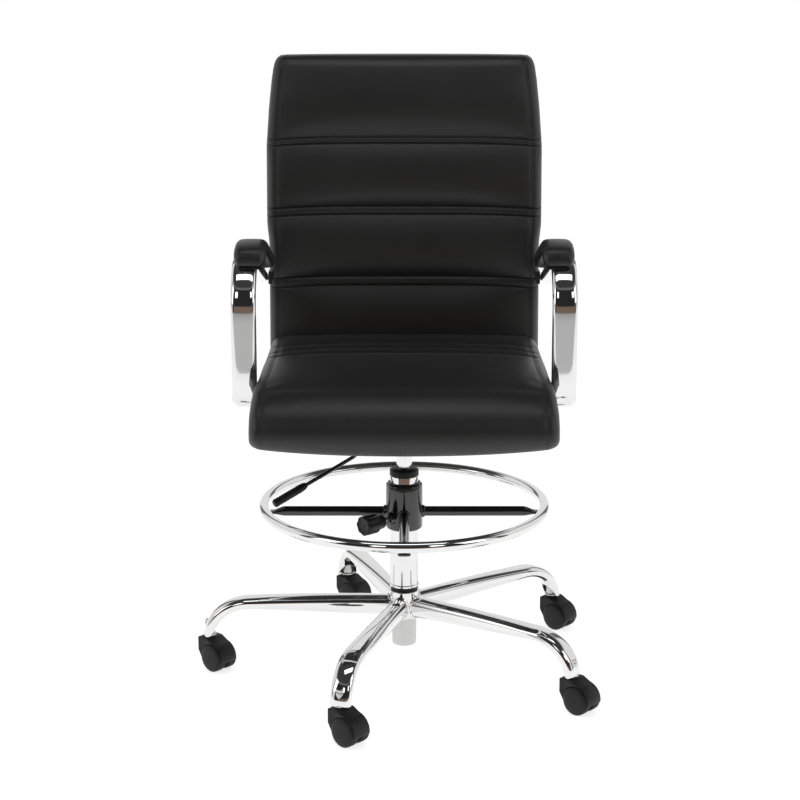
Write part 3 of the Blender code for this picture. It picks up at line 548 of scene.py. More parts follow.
def prism(name, outline, low, high, place, edge, sharp=40):
    """A flat outline given depth, with bevelled rims. place puts (u, v, w) in the frame."""
    points = [place(p[0], p[1], w) for w in (low, high) for p in outline]
    size = len(outline)
    faces = [tuple(range(size)), tuple(range(size, 2 * size))]
    faces += [(i, (i + 1) % size, size + (i + 1) % size, size + i) for i in range(size)]
    obj = piece(name, points, faces, sharp)
    if edge:
        bevel_of(obj, edge)
    return obj


def bevel_of(obj, width, segments=3, angle=30):
    """Gives the piece a modifier that rounds its edges."""
    bevel = obj.modifiers.new("edges", "BEVEL")
    bevel.width = width
    bevel.segments = segments
    bevel.limit_method = "ANGLE"
    bevel.angle_limit = math.radians(angle)
    bevel.use_clamp_overlap = True
    bevel.harden_normals = False


def boolean_of(obj, other, operation):
    """The piece cut by, or joined to, another, which is then removed."""
    modifier = obj.modifiers.new(other.name, "BOOLEAN")
    modifier.operation = operation
    modifier.object = other
    baked(obj)
    bpy.data.objects.remove(other, do_unlink=True)
    return obj


def applied(obj):
    """Makes the piece's modifiers part of its mesh, and gives that mesh."""
    graph = bpy.context.evaluated_depsgraph_get()
    graph.update()
    mesh = bpy.data.meshes.new_from_object(obj.evaluated_get(graph))
    obj.modifiers.clear()
    old = obj.data
    obj.data = mesh
    bpy.data.meshes.remove(old)
    return mesh


def baked(obj, sharp=40):
    """The piece with its modifiers applied, welded and shaded again."""
    tidy(applied(obj), sharp)
    return obj


def merged(name, *objects):
    """Several objects' meshes in one piece."""
    shape = bmesh.new()
    for obj in objects:
        shape.from_mesh(obj.data)
        bpy.data.objects.remove(obj, do_unlink=True)
    mesh = bpy.data.meshes.new(name)
    shape.to_mesh(mesh)
    shape.free()
    return linked(name, mesh)


def moved_copy(obj, name, matrix):
    """A copy of the piece, its points moved by the matrix."""
    made = linked(name, obj.data.copy())
    made.data.transform(matrix)
    return made


def settle(obj, body, finish, slot, replaced=()):
    """Gives a finished piece its material, and says what it rides on and stands for."""
    obj.data.materials.clear()
    obj.data.materials.append(finish_of(finish))
    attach(obj, body)
    if replaced:
        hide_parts(*replaced)
    return obj


def recut(node, name, edge=0.0, sharp=35):
    """A CAD node's shape as its own welded piece with softened edges."""
    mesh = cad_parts[node].data.copy()
    shape = bmesh.new()
    shape.from_mesh(mesh)
    bmesh.ops.remove_doubles(shape, verts=shape.verts, dist=2e-6)
    flat = math.radians(1)
    bmesh.ops.dissolve_limit(shape, angle_limit=flat, verts=shape.verts, edges=shape.edges)
    shape.to_mesh(mesh)
    shape.free()
    mesh.name = name
    mesh.shade_smooth()
    mesh.set_sharp_from_angle(angle=math.radians(sharp))
    obj = linked(name, mesh)
    if edge:
        bevel_of(obj, edge, 2)
        baked(obj, sharp)
    return obj


# ----------------------------------------------------------------------- repeated details, as nodes


class Repeat(Graph):
    """A Geometry Nodes tree with named inputs, which ends in Realize Instances and Set Material."""

    def __init__(self, name):
        super().__init__(bpy.data.node_groups.new(name, "GeometryNodeTree"))
        self.add_socket("Geometry", "Geometry", "INPUT")
        self.add_socket("Geometry", "Geometry", "OUTPUT")

    def add_socket(self, name, kind, in_out):
        self.tree.interface.new_socket(name, in_out=in_out, socket_type=f"NodeSocket{kind}")

    def inputs(self, **kinds):
        """Adds an input of each kind, and gives the geometry's value and theirs."""
        for name, kind in kinds.items():
            self.add_socket(name, kind, "INPUT")
        start = self.node("NodeGroupInput")
        return [start.out("Geometry")] + [start.out(name) for name in kinds]

    def xyz(self, **axes):
        return self.node("ShaderNodeCombineXYZ", axes)

    def copies_round_z(self, shape, count, first=0.0):
        """Copies of a shape turned round Z, evenly spaced from a first angle."""
        line = self.node("GeometryNodeMeshLine", {"Count": count, "Offset": (0, 0, 0)})
        points = self.node("GeometryNodeMeshToPoints", {"Mesh": line})
        turn = first + self.node("GeometryNodeInputIndex") * (2 * math.pi) / count
        inputs = {"Points": points, "Instance": shape, "Rotation": self.xyz(Z=turn)}
        return self.node("GeometryNodeInstanceOnPoints", inputs)

    def end(self, geometry, material):
        solid = self.node("GeometryNodeRealizeInstances", {"Geometry": geometry})
        done = self.node("GeometryNodeSetMaterial", {"Geometry": solid, "Material": material})
        output = self.tree.nodes.new("NodeGroupOutput")
        self.tree.links.new(done.socket, output.inputs["Geometry"])
        return self.tree


def repeated(obj, tree, sharp=40, **values):
    """The tree run on the piece with these inputs, and its result made the piece's plain mesh."""
    modifier = obj.modifiers.new(tree.name, "NODES")
    modifier.node_group = tree
    for item in tree.interface.items_tree:
        if item.in_out == "INPUT" and item.name in values:
            modifier[item.identifier] = values.pop(item.name)
    if values:
        raise ValueError(f"{tree.name} has no input named {sorted(values)}")
    return baked(obj, sharp)


def round_tree():
    """Copies of the piece turned round the column's axis, evenly spaced from a first bearing."""
    tree = Repeat("round_the_column")
    shape, count, first, material = tree.inputs(Count="Int", First="Float", Finish="Material")
    return tree.end(tree.copies_round_z(shape, count, first), material)


def stitch_tree():
    """Short raised stitches along every line of the piece, laid end to end with a gap."""
    tree = Repeat("stitches")
    lines, pitch, length, radius, material = tree.inputs(
        Pitch="Float", Length="Float", Radius="Float", Finish="Material"
    )
    curve = tree.node("GeometryNodeMeshToCurve", {"Mesh": lines})
    inputs = {"Curve": curve, "Length": pitch}
    spaced = tree.node("GeometryNodeResampleCurve", inputs, mode="LENGTH")
    ball = {"Segments": 6, "Rings": 4, "Radius": 1.0}
    stitch = tree.node("GeometryNodeMeshUVSphere", ball).out("Mesh")
    size = tree.xyz(X=radius, Y=radius, Z=length * 0.5)
    way = tree.node("GeometryNodeInputTangent")
    turn = tree.node("FunctionNodeAlignRotationToVector", {"Vector": way}, axis="Z")
    inputs = {"Points": spaced, "Instance": stitch, "Rotation": turn, "Scale": size}
    return tree.end(tree.node("GeometryNodeInstanceOnPoints", inputs), material)


def rib_tree():
    """The piece with fine bars laid across its rim, evenly round its own axis."""
    tree = Repeat("rim_ribs")
    lengths = dict.fromkeys(("Rim", "Width", "Height", "Low", "High"), "Float")
    shape, count, rim, width, height, low, high, material = tree.inputs(
        Count="Int", **lengths, Finish="Material"
    )
    size = tree.xyz(X=height, Y=width, Z=high - low)
    bar = tree.node("GeometryNodeMeshCube", {"Size": size}).out("Mesh")
    place = tree.xyz(X=rim, Z=(high + low) * 0.5)
    shifted = tree.node("GeometryNodeTransform", {"Geometry": bar, "Translation": place})
    bars = tree.copies_round_z(shifted, count)
    both = tree.node("GeometryNodeJoinGeometry")
    for part in (shape, bars):
        tree.tree.links.new(part.socket, both.socket.node.inputs[0])
    return tree.end(both, material)


def tree_of(make):
    """The node group that this function makes, made once."""
    name = make.__name__
    if name not in made_once:
        made_once[name] = make()
    return made_once[name]


def stitched(name, lines, body):
    """Stitches along lines of points that lie on the leather, as one piece."""
    looks = bpy.context.scene.chair_looks
    points, edges = [], []
    for line in lines:
        first = len(points)
        points += [tuple(point) for point in line]
        edges += [(i, i + 1) for i in range(first, len(points) - 1)]
    mesh = bpy.data.meshes.new(name)
    mesh.from_pydata(points, edges, [])
    obj = linked(name, mesh)
    repeated(obj, tree_of(stitch_tree), 60, Pitch=looks.stitch_pitch, Length=looks.stitch_length,
             Radius=looks.stitch_radius, Finish=finish_of("thread"))
    settle(obj, body, "thread", "black_leather")


# --------------------------------------------------------------------------------------- upholstery


class Pad:
    """A sewn cushion: rings of points round its thickness, one ring a station along its length.

    A station is (top, bottom, half width, corner radius): the points of the upper and lower skin
    in the Y-Z plane. The top skin's flat columns end at its two side seams, where a gusset starts.
    """

    def __init__(self, stations, columns=32, corner=6, wall=5):
        spread = math.pi / 2 * 0.86
        self.flat = np.sin(np.linspace(-1, 1, columns) * spread) / math.sin(spread)
        self.columns, self.corner, self.wall = columns, corner, wall
        rings, tops, ways = [], [], []
        for top, bottom, half, radius in stations:
            top, bottom = np.array(top, float), np.array(bottom, float)
            way = top - bottom
            thick = float(np.hypot(*way))
            way = way / max(thick, TINY)
            radius = min(radius, thick * 0.48)
            ring, lifts = self.ring(thick, half, radius)
            points = np.zeros((len(ring), 3))
            points[:, 0] = ring[:, 0]
            points[:, 1:] = bottom + ring[:, 1:2] * way
            rings.append(points)
            tops.append(lifts)
            ways.append((0, *way))
        self.points = np.array(rings)
        self.lift = np.array(tops)
        self.ways = np.array(ways)
        self.seam = np.zeros(self.points.shape[:2])
        self.held = np.zeros(self.points.shape[:2])

    def ring(self, thick, half, radius):
        """One ring's (x, height over the bottom skin) from the top's left seam, and its lift."""
        inner = half - radius
        top = [(x * inner, thick, 1.0) for x in self.flat]
        right = []
        for step in range(1, self.corner + 1):
            angle = math.pi / 2 * step / self.corner
            x, z = inner + radius * math.sin(angle), thick - radius + radius * math.cos(angle)
            right.append((x, z, math.cos(angle) ** 2))
        low = min(radius * 0.6, thick * 0.4)
        for step in range(1, self.wall + 1):
            share = step / (self.wall + 1)
            right.append((half, (thick - radius) * (1 - share) + low * share, 0.0))
        for step in range(0, self.corner):
            angle = math.pi / 2 * step / self.corner
            right.append((half - low + low * math.cos(angle), low - low * math.sin(angle), 0.0))
        bottom = [(x * (half - low), 0.0, 0.0) for x in self.flat[::-1]]
        left = [(-x, z, w) for x, z, w in right[::-1]]
        ring = np.array(top + right + bottom + left)
        return ring[:, :2], ring[:, 2]

    @property
    def top(self):
        return slice(0, self.columns)

    def raise_top(self, amount):
        """Moves the top skin along its own thickness by amount[station, column of the ring]."""
        self.points += (amount * self.lift)[:, :, None] * self.ways[:, None, :]

    def share_x(self):
        """Each point's X as a share of its ring's half width."""
        half = np.abs(self.points[:, :, 0]).max(axis=1, keepdims=True)
        return self.points[:, :, 0] / np.maximum(half, TINY)

    def side_columns(self):
        """The ring columns of the two side seams, left and right."""
        return 0, self.columns - 1

    def low_columns(self):
        """The ring columns where the gusset's lower seam runs, right and left."""
        gusset = self.corner + self.wall
        return self.columns + gusset - 1, self.points.shape[1] - gusset

    def mark_seams(self, nearest, width, on=1.0):
        """Marks the cross seams and side seams, and holds them and all but the top skin in place.

        nearest is each point's distance from a cross seam, and on is 1 where those seams run.
        """
        # the seam mark also paints shade into the leather's colour along these seams' creases
        self.seam = np.exp(-((nearest / width) ** 2)) * self.lift * on
        on_seam = (nearest < 0.4 * MM) * (self.lift > 0.5) * on
        self.held = np.maximum(np.where(self.lift > 0, 0.0, 1.0), on_seam)
        for column in self.side_columns():
            self.seam[:, column] = self.held[:, column] = 1

    def build(self, name):
        """The pad as a mesh object, with its ends closed and its seams as an attribute."""
        count, size = self.points.shape[:2]
        faces = []
        for i in range(count - 1):
            for j in range(size):
                k = (j + 1) % size
                faces.append((i * size + j, i * size + k, (i + 1) * size + k, (i + 1) * size + j))
        side = self.corner * 2 + self.wall
        below = 2 * self.columns + side - 1
        for first in (0, (count - 1) * size):
            for j in range(self.columns - 1):
                ring = (j, j + 1, below - 1 - j, below - j)
                faces.append(tuple(first + k for k in ring))
            faces.append(tuple(first + j for j in range(self.columns - 1, self.columns + side + 1)))
            faces.append(tuple(first + j % size for j in range(below, size + 1)))
        mesh = bpy.data.meshes.new(name)
        mesh.from_pydata([tuple(point) for point in self.points.reshape(-1, 3)], [], faces)
        shape = bmesh.new()
        shape.from_mesh(mesh)
        bmesh.ops.recalc_face_normals(shape, faces=shape.faces)
        shape.to_mesh(mesh)
        shape.free()
        mesh.shade_smooth()
        seam = mesh.attributes.new("seam", "FLOAT", "POINT")
        seam.data.foreach_set("value", self.seam.reshape(-1).astype(np.float32))
        return linked(name, mesh)


FABRIC = {
    "vertex_group_mass": "held",
    "use_pressure": True,
    "tension_stiffness": 25,
    "compression_stiffness": 25,
    "shear_stiffness": 12,
    "bending_stiffness": 2.5,
    "quality": 5,
}
HELD_LEVELS = (0.25, 0.5, 0.75, 1.0)


def coords(mesh):
    """The mesh's points, one row each."""
    points = np.empty(len(mesh.vertices) * 3)
    mesh.vertices.foreach_get("co", points)
    return points.reshape(-1, 3)


def swell(obj, held, pressure, most, frames=20):
    """Fills the cover as foam does: a Cloth run under pressure, its seams held, within a limit."""
    scene = bpy.context.scene
    start = coords(obj.data)
    group = obj.vertex_groups.new(name="held")
    for below, level in zip((0, *HELD_LEVELS), HELD_LEVELS):
        chosen = np.nonzero((held > below) & (held <= level))[0].tolist()
        if chosen:
            group.add(chosen, level, "REPLACE")
    cloth = obj.modifiers.new("swell", "CLOTH")
    for name, value in FABRIC.items():
        setattr(cloth.settings, name, value)
    cloth.settings.uniform_pressure_force = pressure
    cloth.settings.effector_weights.gravity = 0
    cloth.collision_settings.use_collision = False
    cloth.collision_settings.use_self_collision = False
    cloth.point_cache.frame_start, cloth.point_cache.frame_end = 1, frames
    for now in range(1, frames + 1):
        scene.frame_set(now)
    graph = bpy.context.evaluated_depsgraph_get()
    end = coords(obj.evaluated_get(graph).to_mesh())
    obj.evaluated_get(graph).to_mesh_clear()
    obj.modifiers.remove(cloth)
    obj.vertex_groups.remove(group)
    scene.frame_set(1)
    move = end - start
    far = np.linalg.norm(move, axis=1)
    capped = most * np.tanh(far / most)
    move *= (capped / np.maximum(far, TINY))[:, None]
    obj.data.vertices.foreach_set("co", (start + move).reshape(-1))
    obj.data.update()
    print(obj.name, "swelled by at most", round(float(capped.max()) * 1000, 1), "mm")


def subdivide(obj):
    """Splits each face of the piece in four along smooth curves."""
    modifier = obj.modifiers.new("fine", "SUBSURF")
    modifier.levels = modifier.render_levels = 1
    modifier.boundary_smooth = "PRESERVE_CORNERS"
    applied(obj).shade_smooth()


def lines_on(obj, lines, proud):
    """The lines' points moved onto the piece's surface, standing proud of it."""
    tree = BVHTree.FromObject(obj, bpy.context.evaluated_depsgraph_get())
    found = []
    for line in lines:
        moved = []
        for point in line:
            near, normal, _, _ = tree.find_nearest(Vector(point))
            moved.append(near + normal * proud)
        found.append(moved)
    return found


def with_lines(base, lines):
    """Station positions: the base ones, made close-set at each seam line."""
    spread, clear, least = (-6, -3.4, -2.0, -1.0, 0, 1.0, 2.0, 3.4, 6), 4 * MM, 0.9 * MM
    fine = [line + step * MM for line in lines for step in spread]
    kept = [value for value in base if min(abs(value - other) for other in fine) > clear]
    chosen = []
    for value in sorted(kept + fine):
        if not chosen or value - chosen[-1] > least:
            chosen.append(value)
    return np.array(chosen)


def groove(distance, depth, width):
    """A soft crease's depth below the surface at this distance from its line."""
    return -depth * np.exp(-((distance / width) ** 2))


def build_back(looks):
    """The back cushion: four foam panels between three double-stitched bands, with side gussets."""
    bands = [(0.690, 0.016), (0.818, 0.014), (0.944, 0.0105)]  # each band's middle and width
    lines = [middle + side * gap / 2 for middle, gap in bands for side in (-1, 1)]
    bend, radius, gusset = 1.0695, 0.024, 0.017
    outline = (
        (0.55, 0.755, 0.79, 0.93, 1.0, 1.05, 1.093),
        (0.2485, 0.2485, 0.2525, 0.2525, 0.2475, 0.2425, 0.2360),
    )

    def half_at(height):
        return np.interp(height, *outline)

    stations = []
    front = back_line(0.560) - BACK_FACE
    for z, forward, inset in ((0.5500, 0.030, 0.010), (0.5510, 0.014, 0.010), (0.5545, 0.005, 0)):
        low = (back_line(z) - 0.0075 - inset, up(z + 0.001))
        stations.append(((front + forward, up(z)), low, half_at(z), 0.012))
    for z in with_lines(np.arange(0.566, 1.066, 0.0085), lines):
        front = back_line(z) - BACK_FACE + 0.006 * ease(z, 1.0, 1.075)
        stations.append(((front, up(z)), (back_line(z) - BACK_SKIN, up(z)), half_at(z), gusset))
    front = back_line(bend) - BACK_FACE + 0.006
    low_y, rear = back_line(SHELL_TOP) - BACK_SKIN, back_line(BACK_TOP) + 0.013
    for step in range(1, 10):
        share, angle = step / 9, math.pi / 2 * step / 9
        z = bend + radius * math.sin(angle)
        y = front + (1 - math.cos(angle)) * radius
        low = (low_y + (rear - low_y) * share**0.6, up(1.0725 + 0.010 * share))
        stations.append(((y, up(z)), low, half_at(z) - 0.006 * share**2, gusset))
    front += radius
    for share in (0.2, 0.45, 0.7, 0.9, 1.0):
        top = (front + (rear - 0.006 - front) * share, up(1.0935 - 0.0065 * share**3))
        low = (rear - 0.002, up(1.0835 + 0.001 * share))
        stations.append((top, low, half_at(BACK_TOP) - 0.006 - 0.003 * share, 0.010))
    pad = Pad(stations)
    own = np.array([top[1] + DROP for top, *_ in stations])[:, None]
    x = pad.share_x()
    crown = np.zeros(x.shape)
    panels = [(0.560, lines[0]), (lines[1], lines[2]), (lines[3], lines[4]), (lines[5], 1.10)]
    for number, (low, high) in enumerate(panels):
        t = share_of(own, low, high)
        if number == 0:
            shape = 1 - t**4.5
        elif number == 3:
            shape = (1 - (1 - t) ** 4.5) * (1 - 0.4 * t**2)
        else:
            shape = 1 - np.abs(2 * t**0.88 - 1) ** 3.4
        crown = np.where((own > low) & (own < high), looks.panel_puff * shape, crown)
    for middle, gap in bands:
        away = np.abs(own - middle) / (gap / 2)
        arch = looks.band_rise * np.sqrt(np.maximum(0, 1 - away**2))
        crown = np.where(away <= 1, arch, crown)
    nearest = np.min([np.abs(own - line) for line in lines], axis=0)
    pad.raise_top(crown * (1 - 0.55 * np.abs(x) ** 5) + groove(nearest, looks.seam_depth, 1.1 * MM))
    pad.raise_top(0.004 * (1 - np.abs(x) ** 2.2))
    # The bands dip towards the side seams.
    near_band = np.exp(-((np.min([np.abs(own - m) for m, _ in bands], axis=0) / 0.055) ** 2))
    dip = 0.0075 * np.abs(x) ** 4 * near_band * pad.lift
    pad.points[:, :, 2] -= dip
    pad.points[:, :, 1] -= dip * math.tan(RAKE)
    pad.mark_seams(nearest, 2.2 * MM)
    pad.held[:4] = 1
    pad.held[-6:] = np.maximum(pad.held[-6:], 0.75)
    return pad, lines, own[:, 0]


def seat_stations(lines):
    """The seat's skin: up its rear, forward over the top, down the long front roll and under it."""
    top = [(0.180, 0.536), (0.182, 0.552)]
    for angle in np.linspace(0.3, 1.35, 4):
        top.append((0.170 + 0.012 * math.cos(angle), 0.578 + 0.012 * math.sin(angle)))
    flat = with_lines(np.arange(-0.045, 0.160, 0.0105), lines)[::-1]
    top += [(y, SEAT_TOP - 0.0015) for y in flat if -0.046 < y < 0.162]
    for angle in np.radians(np.linspace(6, 90, 26)):
        y = -0.050 - 0.207 * math.sin(angle) ** 0.80
        top.append((y, 0.503 + 0.0855 * math.cos(angle) ** 0.80))
    for angle in np.radians(np.linspace(186, 262, 9)):
        top.append((-0.2335 + 0.0235 * math.cos(angle), 0.5005 + 0.0265 * math.sin(angle)))
    top.append((-0.2225, 0.4745))
    outline = ((-0.235, -0.165, -0.118, -0.06, 0.18), (0.2560, 0.2535, 0.2485, 0.2480, 0.2445))
    board = 0.5088  # where the cushion lies on the shell
    stations = []
    for y, z in top:
        if y > 0.165:
            low = (0.1600 + (0.182 - y) * 0.2, board + 0.022 * (0.60 - z) / 0.06)
        elif z > 0.574 or y > 0:
            low = (min(max(y, -0.2150), 0.160), board)
        else:
            share = float(ease(0.574 - z, 0.0, 0.100))
            low = (-0.2155 + 0.030 * (1 - share) ** 2 - 0.0015 * share, board - 0.0335 * share)
        under = min(1.0, max(0.0, (0.500 - z) / 0.0262))
        half = float(np.interp(y, *outline)) - 0.018 * (1 - math.sqrt(1 - under**2))
        stations.append(((y, up(z)), (low[0], up(low[1])), half, 0.020))
    return stations


def build_seat(looks):
    """The seat cushion: three panels between cross seams, and one over the long rolled front."""
    lines = [0.100, 0.060, 0.018]
    pad = Pad(seat_stations(lines))
    own, height = (pad.points[:, pad.columns // 2, axis][:, None] for axis in (1, 2))
    on_top = ((height + DROP > 0.57) & (own < 0.176)).astype(float)
    x = pad.share_x()
    nearest = np.min([np.abs(own - line) for line in lines], axis=0)
    crown = np.zeros(x.shape)
    for low, high, rise in ((0.100, 0.175, 0.6), (0.060, 0.100, 0.45), (0.018, 0.060, 0.45)):
        shape = rise * (1 - np.abs(2 * share_of(own, low, high) - 1) ** 2.6)
        crown = np.where((own > low) & (own < high), looks.panel_puff * shape, crown)
    t = np.clip((0.018 - own) / 0.05, 0, 1)
    crown = np.where(own < 0.018, looks.panel_puff * 0.8 * (1 - (1 - t) ** 2.4), crown)
    crease = groove(nearest, looks.seam_depth, 1.2 * MM)
    pad.raise_top(on_top * (crown * (1 - 0.5 * np.abs(x) ** 5) + crease))
    pad.raise_top(0.004 * (1 - np.abs(x) ** 2.4) * (1 - 0.5 * on_top))
    # The cross seams sweep forward and draw in at their ends, and the roll's lower corners turn up.
    near_seams = np.exp(-(((own - 0.055) / 0.075) ** 2)) * on_top * pad.lift
    pad.points[:, :, 1] -= 0.030 * np.abs(x) ** 3.2 * near_seams
    pinch = np.exp(-(((own - 0.06) / 0.05) ** 2)) * on_top * pad.lift
    pad.points[:, :, 0] *= 1 - 0.006 * pinch
    low = ease(up(0.535) - pad.points[:, :, 2], 0, 0.05) * (pad.points[:, :, 1] < -0.16)
    pad.points[:, :, 2] += 0.0105 * np.abs(x) ** 2.4 * low
    pad.mark_seams(nearest, 2.4 * MM, on_top)
    pad.held[:3] = pad.held[-3:] = 1
    return pad, lines, np.where(on_top, own, 1)[:, 0]


def sink_seams(pad, depth):
    """Draws the side seams in, so that the panel and its gusset bulge on either side of them."""
    for column, side in zip(pad.side_columns(), (-1, 1)):
        pad.points[:, column] -= pad.ways * depth
        pad.points[:, column, 0] -= side * depth * 0.5
    for column, side in zip(pad.low_columns(), (1, -1)):
        pad.points[3:-3, column, 0] -= side * depth * 0.7
        # the gusset's lower seam gets most of the seam mark, and with it painted shade in the
        # leather's colour
        pad.seam[:, column] = 0.8


def filled(name, pad, pressure, most):
    """The pad as a piece, swelled and subdivided, and its own points after swelling."""
    obj = pad.build(name)
    swell(obj, pad.held.reshape(-1), pressure, most)
    points = coords(obj.data).reshape(pad.points.shape)
    subdivide(obj)
    return obj, points


def sewn(name, obj, seams):
    """Stitches along the seams, laid on the piece and sunk in it by most of the thread."""
    proud = bpy.context.scene.chair_looks.stitch_radius * 0.25
    stitched(name, lines_on(obj, seams, proud), "seat")


def cover_with_leather(obj, node, fill):
    """Makes the piece the leather pad that stands for this CAD node."""
    settle(obj, "seat", "black_leather", "black_leather", [node])


def upholster(node, pad, lines, own, fill):
    """Builds a cushion with its seams and stitches, and lets it stand for its CAD node."""
    sink_seams(pad, SIDE_SEAM_DEPTH)
    obj, points = filled(f"{node}_leather", pad, pressure=3.0, most=6 * MM)
    seams = [points[np.argmin(np.abs(own - line)), pad.top] for line in lines]
    for column, side in zip(pad.side_columns(), (-1, 1)):
        seams.append(points[2:-2, column] - np.array((side * STITCH_INSET, 0, 0)))
    seams += [points[4:-6, column] for column in pad.low_columns()]
    sewn(f"{node}_leather_stitches", obj, seams)
    cover_with_leather(obj, node, fill)


# -------------------------------------------------------------------------------- sizes and colours


def tint(name, description, value):
    return FloatVectorProperty(
        name=name, description=description, subtype="COLOR", size=3, default=value, min=0, max=1)


def portion(name, description, value, least=0.0):
    return FloatProperty(name=name, description=description, default=value, min=least, max=1)


def length(name, description, value, least, most):
    return FloatProperty(
        name=name, description=description, default=value, min=least, max=most, unit="LENGTH")


class ChairLooks(bpy.types.PropertyGroup):
    """Sizes and colours of the chair's finishes that a user would change."""

    leather_colour: tint("Leather", "The leather's lighter tone", (0.0125, 0.0122, 0.0127))
    leather_roughness: portion("Leather roughness", "Lower is glossier", 0.34, 0.1)
    grain_size: length("Grain", "Width of one pebble of the leather's grain", 0.0013, 0.0003, 0.01)
    grain_strength: portion("Grain depth", "How strongly the grain stands out", 0.20)
    thread_colour: tint("Thread", "Colour of the stitching", (0.030, 0.029, 0.030))
    panel_puff: length("Panel puff", "How far a panel stands above its seams", 0.0085, 0, 0.015)
    band_rise: length("Band rise", "How far a stitched band arches", 0.0030, 0, 0.01)
    seam_depth: length("Seam depth", "Depth of the crease along a seam", 0.0022, 0, 0.006)
    stitch_pitch: length("Stitch pitch", "From one stitch to the next", 0.0046, 0.001, 0.02)
    stitch_length: length("Stitch length", "Length of one stitch", 0.0038, 0.001, 0.02)
    stitch_radius: length("Thread radius", "Half the thread's thickness", 0.00042, 0.0001, 0.002)
    chrome_colour: tint("Chrome", "The plating's reflection colour", (0.74, 0.74, 0.75))
    chrome_roughness: portion("Chrome roughness", "Haze on the plating", 0.035)
    satin_roughness: portion("Satin roughness", "Roughness of ground steel", 0.27)
    paint_roughness: portion("Paint roughness", "Roughness of the black paint", 0.13)
    plastic_roughness: portion("Plastic roughness", "Roughness of moulded plastic", 0.42)
    wheel_ribs: IntProperty(
        name="Tread ribs", description="Fine ribs round each wheel", default=84, min=12, max=200)
    leg_count: IntProperty(
        name="Legs", description="Legs in the star base", default=5, min=3, max=8)


class ChairStage(bpy.types.PropertyGroup):
    """The floor, light and camera that the chair stands in."""

    floor_colour: tint("Floor", "Colour of the floor", (0.86, 0.86, 0.86))
    light: FloatProperty(
        name="Light", description="Strength of all the light", default=1.0, min=0, max=10)
    lens: FloatProperty(
        name="Lens", description="Focal length", default=86.85, min=10, max=300, unit="CAMERA")


class ChairOperator:
    """What the chair's operators share: execute runs make, and a failure raises."""

    bl_options = {"REGISTER", "UNDO"}

    def execute(self, context):
        self.make(context.scene.chair_looks)
        return {"FINISHED"}


# ----------------------------------------------------------------------------------------- the base


class CHAIR_OT_column(ChairOperator, bpy.types.Operator):
    """The column's outer tube, its rim and its lower end"""

    bl_idname = "chair.column"
    bl_label = "Column"

    def make(self, looks):
        tube = column_lathe("column_tube_chrome", [
            (0.0222, 0.374), (0.0250, 0.374, 0.0007), (0.0250, 0.1735, 0.0004),
            (0.0264, 0.1725, 0.0006), (0.0264, 0.1690, 0.0006), (0.0246, 0.1672, 0.0004),
            (0.0222, 0.1672),
        ], 96)
        settle(tube, "base", "chrome", "chrome", ["column_tube"])
        # A black ring in the gap between the tube's flange and the hub.
        gap = column_lathe("column_black_band", [
            (0.0215, 0.1676), (0.0243, 0.1676, 0.0006), (0.0243, 0.1585), (0.0215, 0.1585),
        ], 64)
        settle(gap, "base", "black_plastic", "chrome")
        foot = column_lathe("column_foot", [
            (0, 0.1640), (0.0215, 0.1640, 0.001), (0.0226, 0.1500), (0.0219, 0.0612),
            (0.0219, 0.0580, 0.0022), (0.0175, 0.0580, 0.0006), (0.0170, 0.0588, 0.0005),
            (0, 0.0592),
        ], 96, closed=False)
        settle(foot, "base", "satin_steel", "chrome")
        rim = column_lathe("column_guide_rim", [
            (0.0143, 0.3886), (0.0205, 0.3886, 0.001), (0.0222, 0.3862, 0.001),
            (0.0257, 0.3852, 0.0018), (0.0262, 0.3746, 0.0010), (0.0217, 0.3743),
            (0.0217, 0.330), (0.0143, 0.330),
        ], 80)
        settle(rim, "base", "black_plastic", "black_plastic", ["column_guide"])


def leg_station(share):
    """Middle, direction, width and depth at a share of a leg along +X; 1 is its open end."""
    split, bend, root, start = 0.70, 0.075, 0.022, 0.131
    bend_x = LEG_REACH - bend
    if share < split:
        t = share / split
        x = root + (bend_x - root) * t
        z = start + (LEG_CREST - start) * math.sin(t * math.pi / 2)
        way = Vector((1, 0, 0.012 * (1 - t)))
    else:
        a = (share - split) / (1 - split) * math.pi / 2
        x, z = bend_x + bend * math.sin(a), LEG_END + (LEG_CREST - LEG_END) * math.cos(a)
        way = Vector((bend * math.cos(a), 0, -(LEG_CREST - LEG_END) * math.sin(a)))
    size = min(1, x / bend_x)
    width, depth = 0.028 + 0.012 * size, 0.038 - 0.016 * size**1.6
    if x > bend_x:
        width -= 0.0030 * (x - bend_x) / bend
    return Vector((x, 0, up(z))), way.normalized(), width, depth


def leg_ring(share, wall=0.0):
    """Points round a leg, a wall inside its surface, with its underside cut back near the end."""
    cut_from, cut, around = 0.72, 0.34, 48
    points = []
    for i in range(around):
        angle = 2 * math.pi * (i + 0.5) / around
        under = max(0.0, -math.sin(angle)) ** 1.5
        own = share if share < cut_from else cut_from + (share - cut_from) * (1 - cut * under)
        middle, way, width, depth = leg_station(own)
        above = way.cross(Y_AXIS)
        if above.z < 0 or (abs(above.z) < 0.02 and above.x < 0):
            above = -above
        x, y = squared(angle, LEG_SQUARENESS)
        points.append(middle + Y_AXIS * (x * (width / 2 - wall)) + above * (y * (depth / 2 - wall)))
    return points


def leg_rings():
    """One leg drawn along +X, out to its open end, round its rim and back along its inside."""
    outside = [*np.linspace(0, 0.70, 22), *np.linspace(0.70, 1, 34)[1:-1]]
    rim = [(0.9975, 0), (1.0, 0.4 * MM), (1.0, 1.4 * MM), (0.9975, TUBE_WALL)]
    rings = [leg_ring(share) for share in outside] + [leg_ring(share, wall) for share, wall in rim]
    return rings + [leg_ring(share, TUBE_WALL) for share in np.linspace(0.985, 0.80, 12)]


